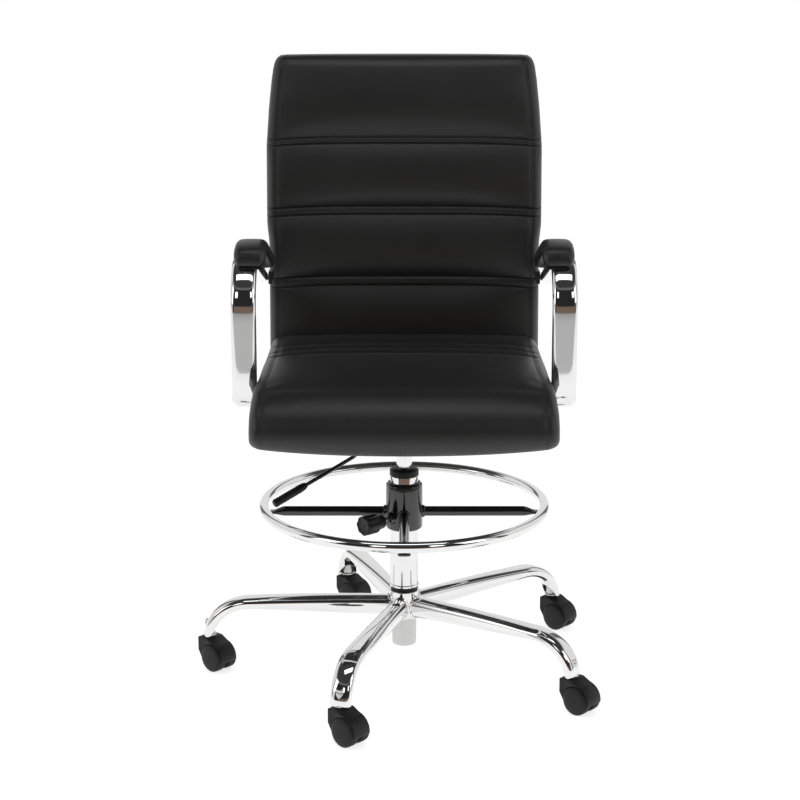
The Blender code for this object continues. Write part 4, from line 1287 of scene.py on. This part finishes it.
class CHAIR_OT_legs(ChairOperator, bpy.types.Operator):
    """The star base: its hub and five pressed tube legs with the casters' sockets"""

    bl_idname = "chair.legs"
    bl_label = "Star base"

    def make(self, looks):
        def at_each_leg(obj, finish, replaced=()):
            repeated(obj, tree_of(round_tree), 35, Count=looks.leg_count,
                     First=LEG_TURN - math.pi / 2, Finish=finish_of(finish))
            settle(obj, "base", finish, "chrome", replaced)

        leg = skin("base_legs", leg_rings(), sharp=35)
        at_each_leg(leg, "chrome", [f"base_leg_{n + 1}" for n in range(5)])
        hub = column_lathe("base_hub_chrome", [
            (0.0229, 0.1610), (0.0281, 0.1610, 0.0012), (HUB_RADIUS, 0.1112, 0.0016),
            (0.0229, 0.1105),
        ], 96)
        settle(hub, "base", "chrome", "chrome", ["base_hub"])
        at_each_leg(self.weld(), "chrome")
        at_each_leg(self.socket(), "satin_steel")

    @staticmethod
    def weld():
        """The bead where a leg along +X meets the hub."""
        height, width, depth = 0.131, 0.0305, 0.0405
        path = []
        for i in range(40):
            y, z = squared(2 * math.pi * i / 40, LEG_SQUARENESS)
            y, z = y * width / 2, z * depth / 2
            path.append(Vector((math.sqrt(HUB_RADIUS**2 - y * y) + 0.0008, y, up(height) + z)))
        return loop_rod("base_welds", path, radius=0.0016)

    @staticmethod
    def socket():
        """The caster's socket and its nut, in the open end of a leg along +X."""
        socket = column_lathe("leg_sockets", [
            (0.0059, 0.0995), (0.0088, 0.0995, 0.0008), (0.0092, 0.0790, 0.0004),
            (0.0118, 0.0780, 0.0006), (0.0120, 0.0752, 0.0006), (0.0059, 0.0750),
        ], 32)
        corner = 0.0072 / math.cos(math.pi / 6)
        ways = [math.pi / 3 * i for i in range(6)]
        outline = [(corner * math.cos(way), corner * math.sin(way)) for way in ways]
        nut = prism("nut", outline, up(0.0996), up(0.1045), lambda u, v, w: (u, v, w), 0.0005)
        both = merged("leg_sockets", socket, baked(nut))
        both.name = "leg_sockets"
        both.data.transform(Matrix.Translation((LEG_REACH, 0, 0)))
        return both


def loop_rod(name, path, radius, around=10):
    """A round bead along a closed path."""
    count = len(path)
    rings = []
    for i, point in enumerate(path):
        way = (path[(i + 1) % count] - path[i - 1]).normalized()
        out = Z_AXIS.cross(way)
        if out.length < 0.1:
            out = X_AXIS
        out = (out - way * out.dot(way)).normalized()
        rings.append(oval(point, out, way.cross(out), 2 * radius, 2 * radius, around, 1.0))
    return skin(name, rings, closed=True)


WHEEL_AXLE = (CASTER_TRAIL, 0, FLOOR + WHEEL_RADIUS)


def caster_hood():
    """A caster's hood: its stem on Z, and an arched cover over wheels that trail along +X."""
    x, z = CASTER_TRAIL, FLOOR + WHEEL_RADIUS
    top = FLOOR + 0.0594
    outer = WHEEL_RADIUS + 0.0025
    ways = np.radians(np.arange(-8, 82, 3))
    arch = [(x + outer * math.cos(way), z + outer * math.sin(way), 0) for way in ways]
    outline = filleted([
        (-0.013, z + 0.009, 0.004), (-0.002, z - 0.009, 0.006), (x - 0.006, z - 0.014, 0.004),
        (x + 0.014, z - 0.013, 0.004), *arch, (0.012, top, 0.004), (-0.013, top, 0.0035)], 6)
    hood = prism("hood", outline, -0.0184, 0.0184, lambda u, v, w: (u, w, v), 0.0012)
    baked(hood)
    for side in (-1, 1):
        pocket = [(0, 0.0035), (0.0260, 0.0035), (0.0260, 0.030), (0, 0.030)]
        pocket = lathe("pocket", pocket, 128, aimed(WHEEL_AXLE, Y_AXIS * side))
        boolean_of(hood, pocket, "DIFFERENCE")
    axle = [(0, -0.0206), (0.0030, -0.0206), (0.0030, 0.0206), (0, 0.0206)]
    boolean_of(hood, lathe("axle", axle, 24, aimed(WHEEL_AXLE, Y_AXIS)), "UNION")
    bevel_of(hood, 0.00035, segments=2, angle=40)
    return baked(hood, 35)


def caster_wheel():
    """One wheel about Z, its outer face up: a domed cap over the hood's edge and a broad tread."""
    return lathe("wheel", [
        (0, 0.0236), (0.0050, 0.0236, 0.001), (0.0058, 0.0231, 0.0006), (0.0072, 0.0234, 0.001),
        (0.0170, 0.0229, 0.004), (0.0222, 0.0217, 0.004), (0.0249, 0.0199, 0.0016),
        (0.0249, 0.0190, 0.0004), (0.0244, 0.0186, 0.0003), (0.0250, 0.0180, 0.0005),
        (0.0250, 0.0062, 0.0014), (0.0232, 0.0045, 0.0008), (0.0036, 0.0045), (0.0036, 0.0214),
        (0, 0.0214),
    ], 96)


class CHAIR_OT_casters(ChairOperator, bpy.types.Operator):
    """Five twin-wheel casters: hoods, stems and ribbed wheels"""

    bl_idname = "chair.casters"
    bl_label = "Casters"

    def make(self, looks):
        hood = caster_hood()
        wheel = repeated(
            caster_wheel(), tree_of(rib_tree), 35, Count=looks.wheel_ribs, Finish=finish_of("tyre"),
            Rim=WHEEL_RADIUS - 0.0001, Width=0.0007, Height=0.0005, Low=0.0070, High=0.0165)
        top, shoulder, low = up(LEG_END + 0.0198), up(LEG_END - 0.0004), FLOOR + 0.0598
        stem = lathe("stem", [
            (0, top), (0.0050, top, 0.0008), (0.0055, top - 0.0018, 0.0003), (0.0055, shoulder),
            (0.0084, shoulder, 0.0002), (0.0084, low, 0.0002), (0.0055, low),
            (0.0055, low - 0.0102), (0, low - 0.0102),
        ], 40)
        for number in range(1, 6):
            foot = compass(LEG_TURN + LEG_STEP * (number - 1), LEG_REACH)
            place = Matrix.Translation(foot) @ Matrix.Rotation(CASTER_TURN, 4, "Z")
            body = f"caster_{number}"
            parts = (hood, "hood", "black_plastic"), (stem, "stem", "satin_steel")
            for shape, word, finish in parts:
                own = moved_copy(shape, f"{body}_{word}", place)
                settle(own, body, finish, finish, [f"caster_{word}_{number}"])
            for side, word in ((-1, "left"), (1, "right")):
                axle = place @ aimed(WHEEL_AXLE, Y_AXIS * side)
                node = f"wheel_{number}_{word}"
                own = moved_copy(wheel, f"{body}_wheel_{word}", axle)
                settle(own, node, "tyre", "black_plastic", [node])
        for spare in (hood, wheel, stem):
            bpy.data.objects.remove(spare, do_unlink=True)


# ------------------------------------------------------------------------------------ the foot ring


class CHAIR_OT_foot_ring(ChairOperator, bpy.types.Operator):
    """The chrome foot ring, its black spokes, clamp, bush and knob"""

    bl_idname = "chair.foot_ring"
    bl_label = "Foot ring"

    def make(self, looks):
        path = [compass(2 * math.pi * i / 160, RING_RADIUS, up(RING_HEIGHT)) for i in range(160)]
        ring = loop_rod("foot_ring_chrome", path, radius=0.0095, around=32)
        settle(ring, "foot_ring", "chrome", "chrome", ["foot_ring"])
        spoke = self.spoke()
        paint = finish_of("gloss_black_paint")
        repeated(spoke, tree_of(round_tree), 35, Count=4, First=0.0, Finish=paint)
        settle(spoke, "foot_ring", "gloss_black_paint", "gloss_black_paint",
               [f"ring_spoke_{word}" for word in ("front", "right", "back", "left")])
        clamp = column_lathe("ring_clamp_body", [
            (0.0276, 0.3618), (0.0292, 0.3618, 0.0010), (0.0325, 0.3585, 0.0040),
            (CLAMP_RADIUS, 0.3480, 0.006), (CLAMP_RADIUS, 0.2800, 0.0025), (0.0308, 0.2772, 0.0010),
            (0.0276, 0.2772),
        ], 96)
        outward = compass(KNOB_WAY)
        bosses = [(outward, KNOB_HEIGHT, 0.0114, 0.0415, 0.0012)]
        for quarter in range(4):
            way = compass(math.pi / 2 * quarter)
            bosses.append((way, SPOKE_HEIGHT, 0.0112, 0.0368, 0.0014))
        for way, height, radius, reach, soft in bosses:
            shape = [(0, reach), (radius, reach, soft), (radius, 0.0345), (radius + 0.001, 0.030)]
            shape.append((0, 0.030))
            boss = lathe("boss", shape, 40, aimed((0, 0, up(height)), way))
            boolean_of(clamp, boss, "UNION")
        settle(clamp, "foot_ring", "gloss_black_paint", "gloss_black_paint", ["ring_clamp"])
        bush = column_lathe("ring_bush_sleeve", [
            (0.0255, 0.3624), (0.0273, 0.3624, 0.0005), (0.0273, 0.2766, 0.0005), (0.0255, 0.2766),
        ], 80)
        settle(bush, "ring_bush", "black_plastic", "black_plastic", ["ring_bush"])
        place = aimed((0, 0, up(KNOB_HEIGHT)), outward)
        stud = lathe("clamp_stud_pin", [
            (0, 0.0678), (0.0034, 0.0678), (0.0040, 0.0672), (0.0040, 0.0284), (0.0034, 0.0278),
            (0, 0.0278),
        ], 32, place)
        settle(stud, "clamp_stud", "satin_steel", "satin_steel", ["clamp_stud"])
        settle(self.knob(place), "clamp_knob", "black_plastic", "black_plastic", ["clamp_knob"])

    @staticmethod
    def spoke():
        """A spoke drawn along +X: round at the clamp, pressed flat where it runs under the ring."""
        rings = []
        for reach in (*np.linspace(0.030, 0.205, 12), *np.linspace(0.211, 0.247, 14)):
            flat = float(ease(reach, 0.212, 0.238))
            width, depth = 0.018 + 0.004 * flat, 0.018 - 0.0135 * flat
            height = up(SPOKE_HEIGHT) - 0.0015 * flat
            centre = Vector((reach, 0, height))
            rings.append(oval(centre, Y_AXIS, Z_AXIS, width, depth, 32, 1 - 0.25 * flat))
        tip = [Vector((0.2485, p.y * 0.9, height + (p.z - height) * 0.6)) for p in rings[-1]]
        return skin("ring_spokes", rings + [tip], sharp=38)

    @staticmethod
    def knob(matrix):
        """A knob with eight flutes, a plain neck and a dished cap."""
        near, far, flutes, deepest = 0.056, 0.101, 8, 1.9 * MM
        shape = [  # height, radius and how deep the flutes are there
            (near, 0.0123, 0), (near + 0.0006, 0.0131, 0), (near + 0.011, 0.0139, 0),
            (near + 0.0135, 0.0150, 0.2), (near + 0.0165, 0.0172, 0.8), (near + 0.0185, 0.0181, 1),
            (near + 0.022, 0.0185, 1), (far - 0.010, 0.0184, 1), (far - 0.0035, 0.0181, 1),
            (far - 0.0012, 0.0172, 0.9), (far - 0.0002, 0.0158, 0.6), (far, 0.0145, 0.25),
            (far - 0.0002, 0.0130, 0), (far - 0.0014, 0.0118, 0), (far - 0.0016, 0.0060, 0),
            (far - 0.0016, 0.0015, 0),
        ]
        rings = []
        for height, radius, flute in shape:
            ring = []
            for i in range(128):
                angle = 2 * math.pi * i / 128
                away = 0.5 - 0.5 * math.cos(flutes * angle)
                out = radius - deepest * flute * away**1.6
                ring.append(matrix @ Vector((out * math.cos(angle), out * math.sin(angle), height)))
            rings.append(ring)
        return skin("clamp_knob_grip", rings, sharp=50)


# ------------------------------------------------------------------------------------ the mechanism


class CHAIR_OT_mechanism(ChairOperator, bpy.types.Operator):
    """The gas lift, the rocking housing with its spring, and the seat plate"""

    bl_idname = "chair.mechanism"
    bl_label = "Mechanism"

    def make(self, looks):
        cylinder = column_lathe("gas_cylinder_tube", [
            (0.0045, 0.4548), (0.0132, 0.4548, 0.0008), (0.0140, 0.4535, 0.0006),
            (0.0140, 0.1256, 0.0006), (0.0056, 0.1256), (0.0056, 0.1290), (0.0124, 0.1290),
            (0.0124, 0.4350), (0.0045, 0.4350),
        ], 80)
        settle(cylinder, "lift", "chrome", "satin_steel", ["gas_cylinder"])
        for node, body, finish, edge in (
            ("tilt_housing", "lift", "gloss_black_paint", 0.6 * MM),
            ("tilt_plate", "seat", "gloss_black_paint", 0.6 * MM),
            ("tilt_pin", "lift", "satin_steel", 0),
            ("lever_cradle", "lever_cradle", "satin_steel", 0),
            ("release_pin", "release_pin", "satin_steel", 0),
            ("piston_rod", "lift_rod", "satin_steel", 0),
            ("thrust_bearing", "lift_rod", "satin_steel", 0),
        ):
            settle(recut(node, f"{node}_finished", edge), body, finish, finish, [node])
        self.spring()
        self.screws()

    @staticmethod
    def spring():
        """The torsion spring, coiled round its own axis along X."""
        low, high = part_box("tilt_spring")
        y, z = (low.y + high.y) / 2, (low.z + high.z) / 2
        start, length = low.x + 0.002, high.x - low.x - 0.004
        turns, steps, radius = 12, 24, 0.0088
        path = []
        for i in range(turns * steps + 1):
            x = start + length * (i / (turns * steps))
            angle = 2 * math.pi * i / steps
            path.append((x, y + radius * math.cos(angle), z + radius * math.sin(angle)))
        coil = rod("tilt_spring_coil", path, radius=0.0019, around=10)
        settle(coil, "lift", "spring_steel", "spring_steel", ["tilt_spring"])

    @staticmethod
    def screws():
        """Four pan-head screws under the seat plate's corners."""
        low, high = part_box("tilt_plate")
        heads = []
        for x in (low.x + 0.016, high.x - 0.016):
            for y in (low.y + 0.016, high.y - 0.016):
                heads.append(lathe("screw", [
                    (0, -0.0034), (0.0016, -0.0034), (0.0018, -0.0040, 0.0003),
                    (0.0050, -0.0034, 0.0014), (0.0072, -0.0006, 0.0006), (0.0072, 0.0004),
                    (0, 0.0004),
                ], 24, Matrix.Translation((x, y, high.z - 0.003))))
        settle(merged("seat_plate_screws", *heads), "seat", "satin_steel", "satin_steel")


class CHAIR_OT_lever(ChairOperator, bpy.types.Operator):
    """The height lever: a bent black rod with a ribbed grip"""

    bl_idname = "chair.lever"
    bl_label = "Lever"

    def make(self, looks):
        level = up(LEVER_HEIGHT)
        elbow = Vector((-0.052, 0, level))
        drop, tip = Vector((-0.092, -0.047, up(0.418))), Vector((-0.219, -0.127, up(0.361)))
        along = (tip - drop).normalized()
        reach = (drop - elbow).length * 0.45
        first, second = elbow - X_AXIS * reach, drop - along * reach
        path = [Vector((0.0142, 0, level)), Vector((-0.02, 0, level)), elbow]
        for step in range(1, 25):
            t = step / 24
            path.append(elbow * (1 - t) ** 3 + first * 3 * t * (1 - t) ** 2
                        + second * 3 * t * t * (1 - t) + drop * t**3)
        path += [drop + along * 0.03, tip - along * 0.004]
        bar = rod("lever_rod_bar", *round_ends(path, 0.0035, 0.0012), 24)
        settle(bar, "lever", "gloss_black_paint", "gloss_black_paint", ["lever_rod"])
        profile = [(0, 0.0680), (0.0052, 0.0680, 0.0018), (0.0074, 0.0655, 0.0015)]
        for rib in range(9):
            height = 0.062 - 0.0048 * rib
            profile += [(0.0075, height, 0.0006), (0.0075, height - 0.0022, 0.0006),
                        (0.0068, height - 0.0028, 0.0004), (0.0068, height - 0.0042, 0.0004)]
        profile += [(0.0074, 0.0170, 0.001), (0.0066, 0.0060, 0.001), (0.0050, 0.0000, 0.0006),
                    (0.0039, 0.0000), (0.0039, 0.0630), (0, 0.0630)]
        grip = lathe("lever_grip_sleeve", profile, 48, aimed(tip - along * 0.062, along))
        settle(grip, "lever", "black_plastic", "black_plastic", ["lever_grip"])


# ------------------------------------------------------------------------------------ seat and back


class CHAIR_OT_seat(ChairOperator, bpy.types.Operator):
    """The seat cushion with its rolled front, seams and stitches"""

    bl_idname = "chair.seat"
    bl_label = "Seat cushion"

    def make(self, looks):
        upholster("seat_cushion", *build_seat(looks), fill=0.7)


class CHAIR_OT_back(ChairOperator, bpy.types.Operator):
    """The back cushion with its three stitched bands"""

    bl_idname = "chair.back"
    bl_label = "Back cushion"

    def make(self, looks):
        upholster("back_cushion", *build_back(looks), fill=0.65)


def cover_line(out):
    """The rear cover's line this far behind the shell's middle, from its lower end to the top."""
    radius, level = 0.070, 0.5023  # the shell's bend, and the height of its seat
    y = back_line(level) - radius * math.tan((math.pi / 2 - RAKE) / 2)
    z = level + radius
    ways = np.linspace(-math.radians(38), -RAKE, 12)
    reach = radius + out
    bend = [(y + reach * math.cos(way), z + reach * math.sin(way)) for way in ways]
    heights = np.linspace(bend[-1][1], SHELL_TOP - 0.0005, 60)[1:]
    return bend + [(back_line(height) + out / math.cos(RAKE), height) for height in heights]


class CHAIR_OT_shell(ChairOperator, bpy.types.Operator):
    """The lined plywood shell and the leather cover on the back's rear"""

    bl_idname = "chair.shell"
    bl_label = "Shell and rear cover"

    def make(self, looks):
        shell = recut("seat_shell", "seat_shell_lined", edge=0.0015)
        settle(shell, "seat", "lining", "plywood", ["seat_shell"])
        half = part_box("back_cover")[1].x
        inner, thick, inset = 0.0063, 0.0082, 0.016
        under, outer = cover_line(inner), cover_line(inner + thick)
        count = len(under)
        stations = []
        for i, (near, far) in enumerate(zip(under, outer)):
            end = min(i, count - 1 - i)
            thin = 1 - 0.75 * (1 - min(end, 4) / 4) ** 2
            far = tuple(n + (f - n) * thin for f, n in zip(far, near))
            narrow = 0.020 * (1 - min(1, end * 0.009 / 0.03)) ** 2
            stations.append(((far[0], up(far[1])), (near[0], up(near[1])), half - narrow, 0.0055))
        pad = Pad(stations, columns=28, corner=5, wall=1)
        x = np.abs(pad.share_x())
        rows = np.linspace(-1, 1, count)[:, None]
        pad.raise_top(0.0045 * (1 - x**4) * (1 - rows**8))
        pad.raise_top(groove((np.abs(pad.share_x()) - 0.93) * half, 0.0006, 0.002))
        pad.held = np.where(pad.lift > 0.5, 0.0, 1.0)
        pad.held[:3] = pad.held[-3:] = 1
        obj, points = filled("back_cover_leather", pad, pressure=0.8, most=2 * MM)
        most = half - inset
        sides = [points[4:-3, column].copy() for column in pad.side_columns()]
        ends = [points[row, pad.top].copy() for row in (-4, 3)]
        for line, x in zip(sides, (-most, most)):
            line[:, 0] = x
        for line in ends:
            line[:, 0] = np.clip(line[:, 0], -most, most)
        sewn("back_cover_stitches", obj, sides + ends)
        cover_with_leather(obj, "back_cover", fill=0.5)


# --------------------------------------------------------------------------------------------- arms


def arm_line(steps=26):
    """The arm's middle line in the Y-Z plane, from its foot, round its front, to the back."""
    path = [(y, 0.524) for y in (0.040, 0.010, -0.030)]
    for way in [math.radians(270 - 90 * step / steps) for step in range(steps + 1)]:
        path.append((-0.054 + 0.050 * math.cos(way), 0.574 + 0.050 * math.sin(way)))
    path += [(-0.104, z) for z in (0.600, 0.630, 0.660)]
    for way in [math.radians(180 - 107 * step / steps) for step in range(steps + 1)]:
        path.append((-0.029 + 0.075 * math.cos(way), 0.688 + 0.075 * math.sin(way)))
    last_y, last_z = path[-1]
    for y in np.linspace(0.02, 0.226, 9):
        path.append((y, last_z - (y - last_y) * math.tan(ARM_SLOPE)))
    return [Vector((0, y, up(z))) for y, z in path]


class CHAIR_OT_arms(ChairOperator, bpy.types.Operator):
    """Two bent flat-oval chrome arms with their domed bolts"""

    bl_idname = "chair.arms"
    bl_label = "Arms"

    def make(self, looks):
        path = arm_line()
        ways = ways_along(path)
        first, last = path[0], path[-1]
        # Each end is rounded over three rings: how far along the arm, and how far inside it.
        rounding = ((0.0, 2.6 * MM), (0.8 * MM, 1.1 * MM), (2.6 * MM, 0.0))
        stations = []
        for along, inset in rounding:
            at = first + ways[0] * along
            stations.append((at, ways[0], inset))
        stations += [(point, way, 0.0) for point, way in zip(path[1:-1], ways[1:-1])]
        for along, inset in rounding[::-1]:
            at = last - ways[-1] * along
            stations.append((at, ways[-1], inset))
        for side, word in ((-1, "left"), (1, "right")):
            low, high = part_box(f"arm_{word}")
            middle = X_AXIS * ((low.x + high.x) / 2)
            rings = []
            for point, way, inset in stations:
                wide, deep = 0.043 - 2 * inset, 0.022 - 2 * inset
                rings.append(oval(point + middle, X_AXIS, X_AXIS.cross(way), wide, deep, 56, 0.62))
            arm = skin(f"arm_{word}_chrome", rings, sharp=50)
            settle(arm, "seat", "chrome", "chrome", [f"arm_{word}"])
            for place in ("seat", "back"):
                self.bolt(f"arm_bolt_{word}_{place}", side)

    @staticmethod
    def bolt(node, side):
        """A bolt with a domed head and a socket in it."""
        low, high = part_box(node)
        outer = high.x if side > 0 else low.x
        at = (outer - side * 0.006, (low.y + high.y) / 2, (low.z + high.z) / 2)
        bolt = lathe(f"{node}_domed", [
            (0, 0.0030), (0.0022, 0.0030), (0.0026, 0.0034, 0.0002), (0.0026, 0.0056, 0.0003),
            (0.0050, 0.0052, 0.001), (0.0082, 0.0034, 0.002), (0.0094, 0.0008, 0.0008),
            (0.0094, 0.0001), (0.0040, 0.0001), (0.0040, -0.067), (0, -0.067),
        ], 48, aimed(Vector(at), X_AXIS * side))
        settle(bolt, "seat", "chrome", "chrome", [node])


class CHAIR_OT_arm_pads(ChairOperator, bpy.types.Operator):
    """Two moulded arm pads in leather on black bases"""

    bl_idname = "chair.arm_pads"
    bl_label = "Arm pads"

    def make(self, looks):
        line = [point for point in arm_line(40) if point.z > up(0.70)]
        front, rear = -0.0735, 0.168
        knee = [point for point in line if point.y < 0.0][-1]
        arc = [point for point in line if front - 0.001 < point.y < knee.y + TINY]
        path = arc[::3]
        for y in np.linspace(knee.y + 0.012, rear, 14):
            path.append(Vector((0, y, knee.z - (y - knee.y) * math.tan(ARM_SLOPE))))
        length = [0.0]
        for a, b in zip(path, path[1:]):
            length.append(length[-1] + (b - a).length)
        lift, thick, round_over = 0.0150, 0.0165, 0.016
        stations, profile = [], []
        for point, way, run in zip(path, ways_along(path), length):
            near = min(run, length[-1] - run)
            full = math.sqrt(max(0.0, 1 - (1 - min(1, near / round_over)) ** 2))
            above = X_AXIS.cross(way)
            bottom, top = point + above * lift, point + above * (lift + 0.0050 + thick * full)
            half = 0.0275 - 0.0085 * (1 - full)
            stations.append(((top.y, top.z), (bottom.y, bottom.z), half, 0.0115))
            profile.append((point, above, half))
        for word in ("left", "right"):
            low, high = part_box(f"arm_pad_{word}")
            middle = X_AXIS * ((low.x + high.x) / 2)
            pad = Pad(stations, columns=14, corner=6, wall=2)
            pad.raise_top(0.0022 * (1 - np.abs(pad.share_x()) ** 2.2))
            pad.points[:, :, 0] += middle.x
            pad.held = np.where(pad.lift > 0, 0.0, 1.0)
            pad.held[:, pad.side_columns()] = 0.5
            obj, _ = filled(f"arm_pad_{word}_leather", pad, pressure=1.5, most=1.8 * MM)
            cover_with_leather(obj, f"arm_pad_{word}", fill=0.8)
            rings = []
            for point, above, half in profile:
                centre = point + middle + above * 0.0133
                rings.append(oval(centre, X_AXIS, above, 2 * half - 0.005, 0.0040, 28, 0.5))
            base = skin(f"arm_pad_{word}_base", rings)
            settle(base, "seat", "black_plastic", "black_leather")


# -------------------------------------------------------------------------------------------- stage


def studio(looks):
    """Soft white light all round, with dark cards and a warm one for the chrome to reflect."""
    world = bpy.data.worlds.new("studio")
    bpy.context.scene.world = world
    world.use_nodes = True
    graph = Graph(world.node_tree)
    graph.tree.nodes.clear()
    where = graph.node("ShaderNodeTexCoord").out("Generated")
    split = graph.node("ShaderNodeSeparateXYZ", {"Vector": where})
    x, y, z = (split.out(axis) for axis in "XYZ")

    def size(value):
        return graph.node("ShaderNodeMath", {0: value}, operation="ABSOLUTE")

    def patch(value, middle, half, soft):
        """1 within half of the middle and 0 outside, with a soft edge."""
        return 1 - size(value - middle).step(half - soft, half + soft)

    ahead = graph.node("ShaderNodeMath", {0: x, 1: y * -1.0}, operation="ARCTAN2")
    front = patch(ahead, 0.0, 1.00, 0.12)
    paper = front * patch(z, -0.35, 0.24, 0.03)
    room = front * patch(z, 0.29, 0.43, 0.05)
    warm = patch(ahead, 0.05, 0.70, 0.15) * patch(z, -0.02, 0.12, 0.04)
    windows = patch(size(ahead - 0.05), 0.42, 0.10, 0.02) * patch(z, 0.52, 0.09, 0.03)
    sides = patch(size(ahead), 1.42, 0.09, 0.03) * patch(z, 0.15, 0.55, 0.1)
    rear = patch(size(ahead), 2.62, 0.12, 0.03) * patch(z, 0.35, 0.32, 0.06)
    seen = graph.node("ShaderNodeLightPath").out("Is Camera Ray")
    colour = grey(0.88)
    for zone, tone in (
        (z.step(0.62, 0.78), grey(0.05)), (paper, grey(0.55)), (room * 0.985, grey(0.012)),
        (warm * 0.9, (0.22, 0.155, 0.115, 1)), (windows, grey(3.2)), (sides * 0.9, grey(0.03)),
        (rear * 0.85, grey(0.04)), (seen, grey(1.0)),
    ):
        colour = graph.mixed(zone, colour, tone)
    light = graph.node("ShaderNodeBackground", {"Color": colour, "Strength": looks.light})
    output = graph.tree.nodes.new("ShaderNodeOutputWorld")
    graph.tree.links.new(light.socket, output.inputs["Surface"])


def lamp(name, place, size, energy):
    """A rectangular softbox that faces the chair's middle."""
    data = bpy.data.lights.new(name, "AREA")
    data.shape = "RECTANGLE"
    data.size, data.size_y = size
    data.energy = energy
    obj = linked(name, data)
    obj.location = place
    obj.rotation_euler = (Vector(place) - Z_AXIS * 0.5).to_track_quat("Z", "Y").to_euler()


class CHAIR_OT_stage(bpy.types.Operator):
    """Floor, soft light and camera"""

    bl_idname = "chair.stage"
    bl_label = "Stage"
    bl_options = {"REGISTER", "UNDO"}

    def execute(self, context):
        looks = context.scene.chair_stage
        far, near = 30, -2.4
        corners = [(-far, near, FLOOR), (far, near, FLOOR), (far, far, FLOOR), (-far, far, FLOOR)]
        floor = piece("floor", corners, [(0, 1, 2, 3)])
        finish = Finish("pale_floor", Roughness=0.55, Specular_IOR_Level=0.1,
                        Emission_Strength=0.72, Emission_Color=(1, 1, 1, 1))
        pale, dull = (tuple(c * share for c in looks.floor_colour) + (1,) for share in (1, 0.985))
        finish.feed("Base Color", finish.mixed(finish.noise(3, 2), pale, dull))
        floor.data.materials.append(finish.material)
        floor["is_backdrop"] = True
        studio(looks)
        lamp("overhead_softbox", (0.0, -0.55, 2.7), (1.9, 0.55), energy=9 * looks.light)
        lamp("left_softbox", (-2.4, -1.3, 1.7), (1.0, 1.6), energy=7 * looks.light)
        lamp("right_softbox", (2.3, -1.6, 1.9), (1.0, 1.6), energy=9 * looks.light)
        camera = bpy.data.cameras.new("camera")
        camera.lens = looks.lens
        camera.sensor_width = 36
        camera.shift_x = -0.00525
        camera.clip_end = 100
        eye = linked("camera", camera)
        eye.location = (0, -3.304, 1.264)
        eye.rotation_euler = (math.radians(76.21), 0, 0)
        context.scene.camera = eye
        context.scene.view_settings.view_transform = "Standard"
        return {"FINISHED"}


class CHAIR_PT_panel(bpy.types.Panel):
    """The chair's operators and looks"""

    bl_idname = "CHAIR_PT_panel"
    bl_label = "Drafting Chair"
    bl_space_type = "VIEW_3D"
    bl_region_type = "UI"
    bl_category = "Chair"

    def draw(self, context):
        for operator in OPERATORS:
            self.layout.operator(operator.bl_idname)
        for group in (context.scene.chair_looks, context.scene.chair_stage):
            box = self.layout.box()
            for name in group.bl_rna.properties.keys():
                if name not in ("rna_type", "name"):
                    box.prop(group, name)


OPERATORS = (
    CHAIR_OT_stage, CHAIR_OT_column, CHAIR_OT_legs, CHAIR_OT_casters, CHAIR_OT_foot_ring,
    CHAIR_OT_mechanism, CHAIR_OT_lever, CHAIR_OT_shell, CHAIR_OT_seat, CHAIR_OT_back,
    CHAIR_OT_arms, CHAIR_OT_arm_pads,
)
CLASSES = (ChairLooks, ChairStage, *OPERATORS, CHAIR_PT_panel)


def register():
    for cls in CLASSES:
        bpy.utils.register_class(cls)
    bpy.types.Scene.chair_looks = PointerProperty(type=ChairLooks)
    bpy.types.Scene.chair_stage = PointerProperty(type=ChairStage)


def unregister():
    del bpy.types.Scene.chair_looks, bpy.types.Scene.chair_stage
    for cls in reversed(CLASSES):
        bpy.utils.unregister_class(cls)


def main():
    register()
    for operator in OPERATORS:
        getattr(bpy.ops.chair, operator.bl_idname.split(".")[1])()
    boxes = {"cad": CAD_BOX, "visual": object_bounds()}
    sizes = {name: [list(corner) for corner in box] for name, box in boxes.items()}


if __name__ == "__main__":
    main()
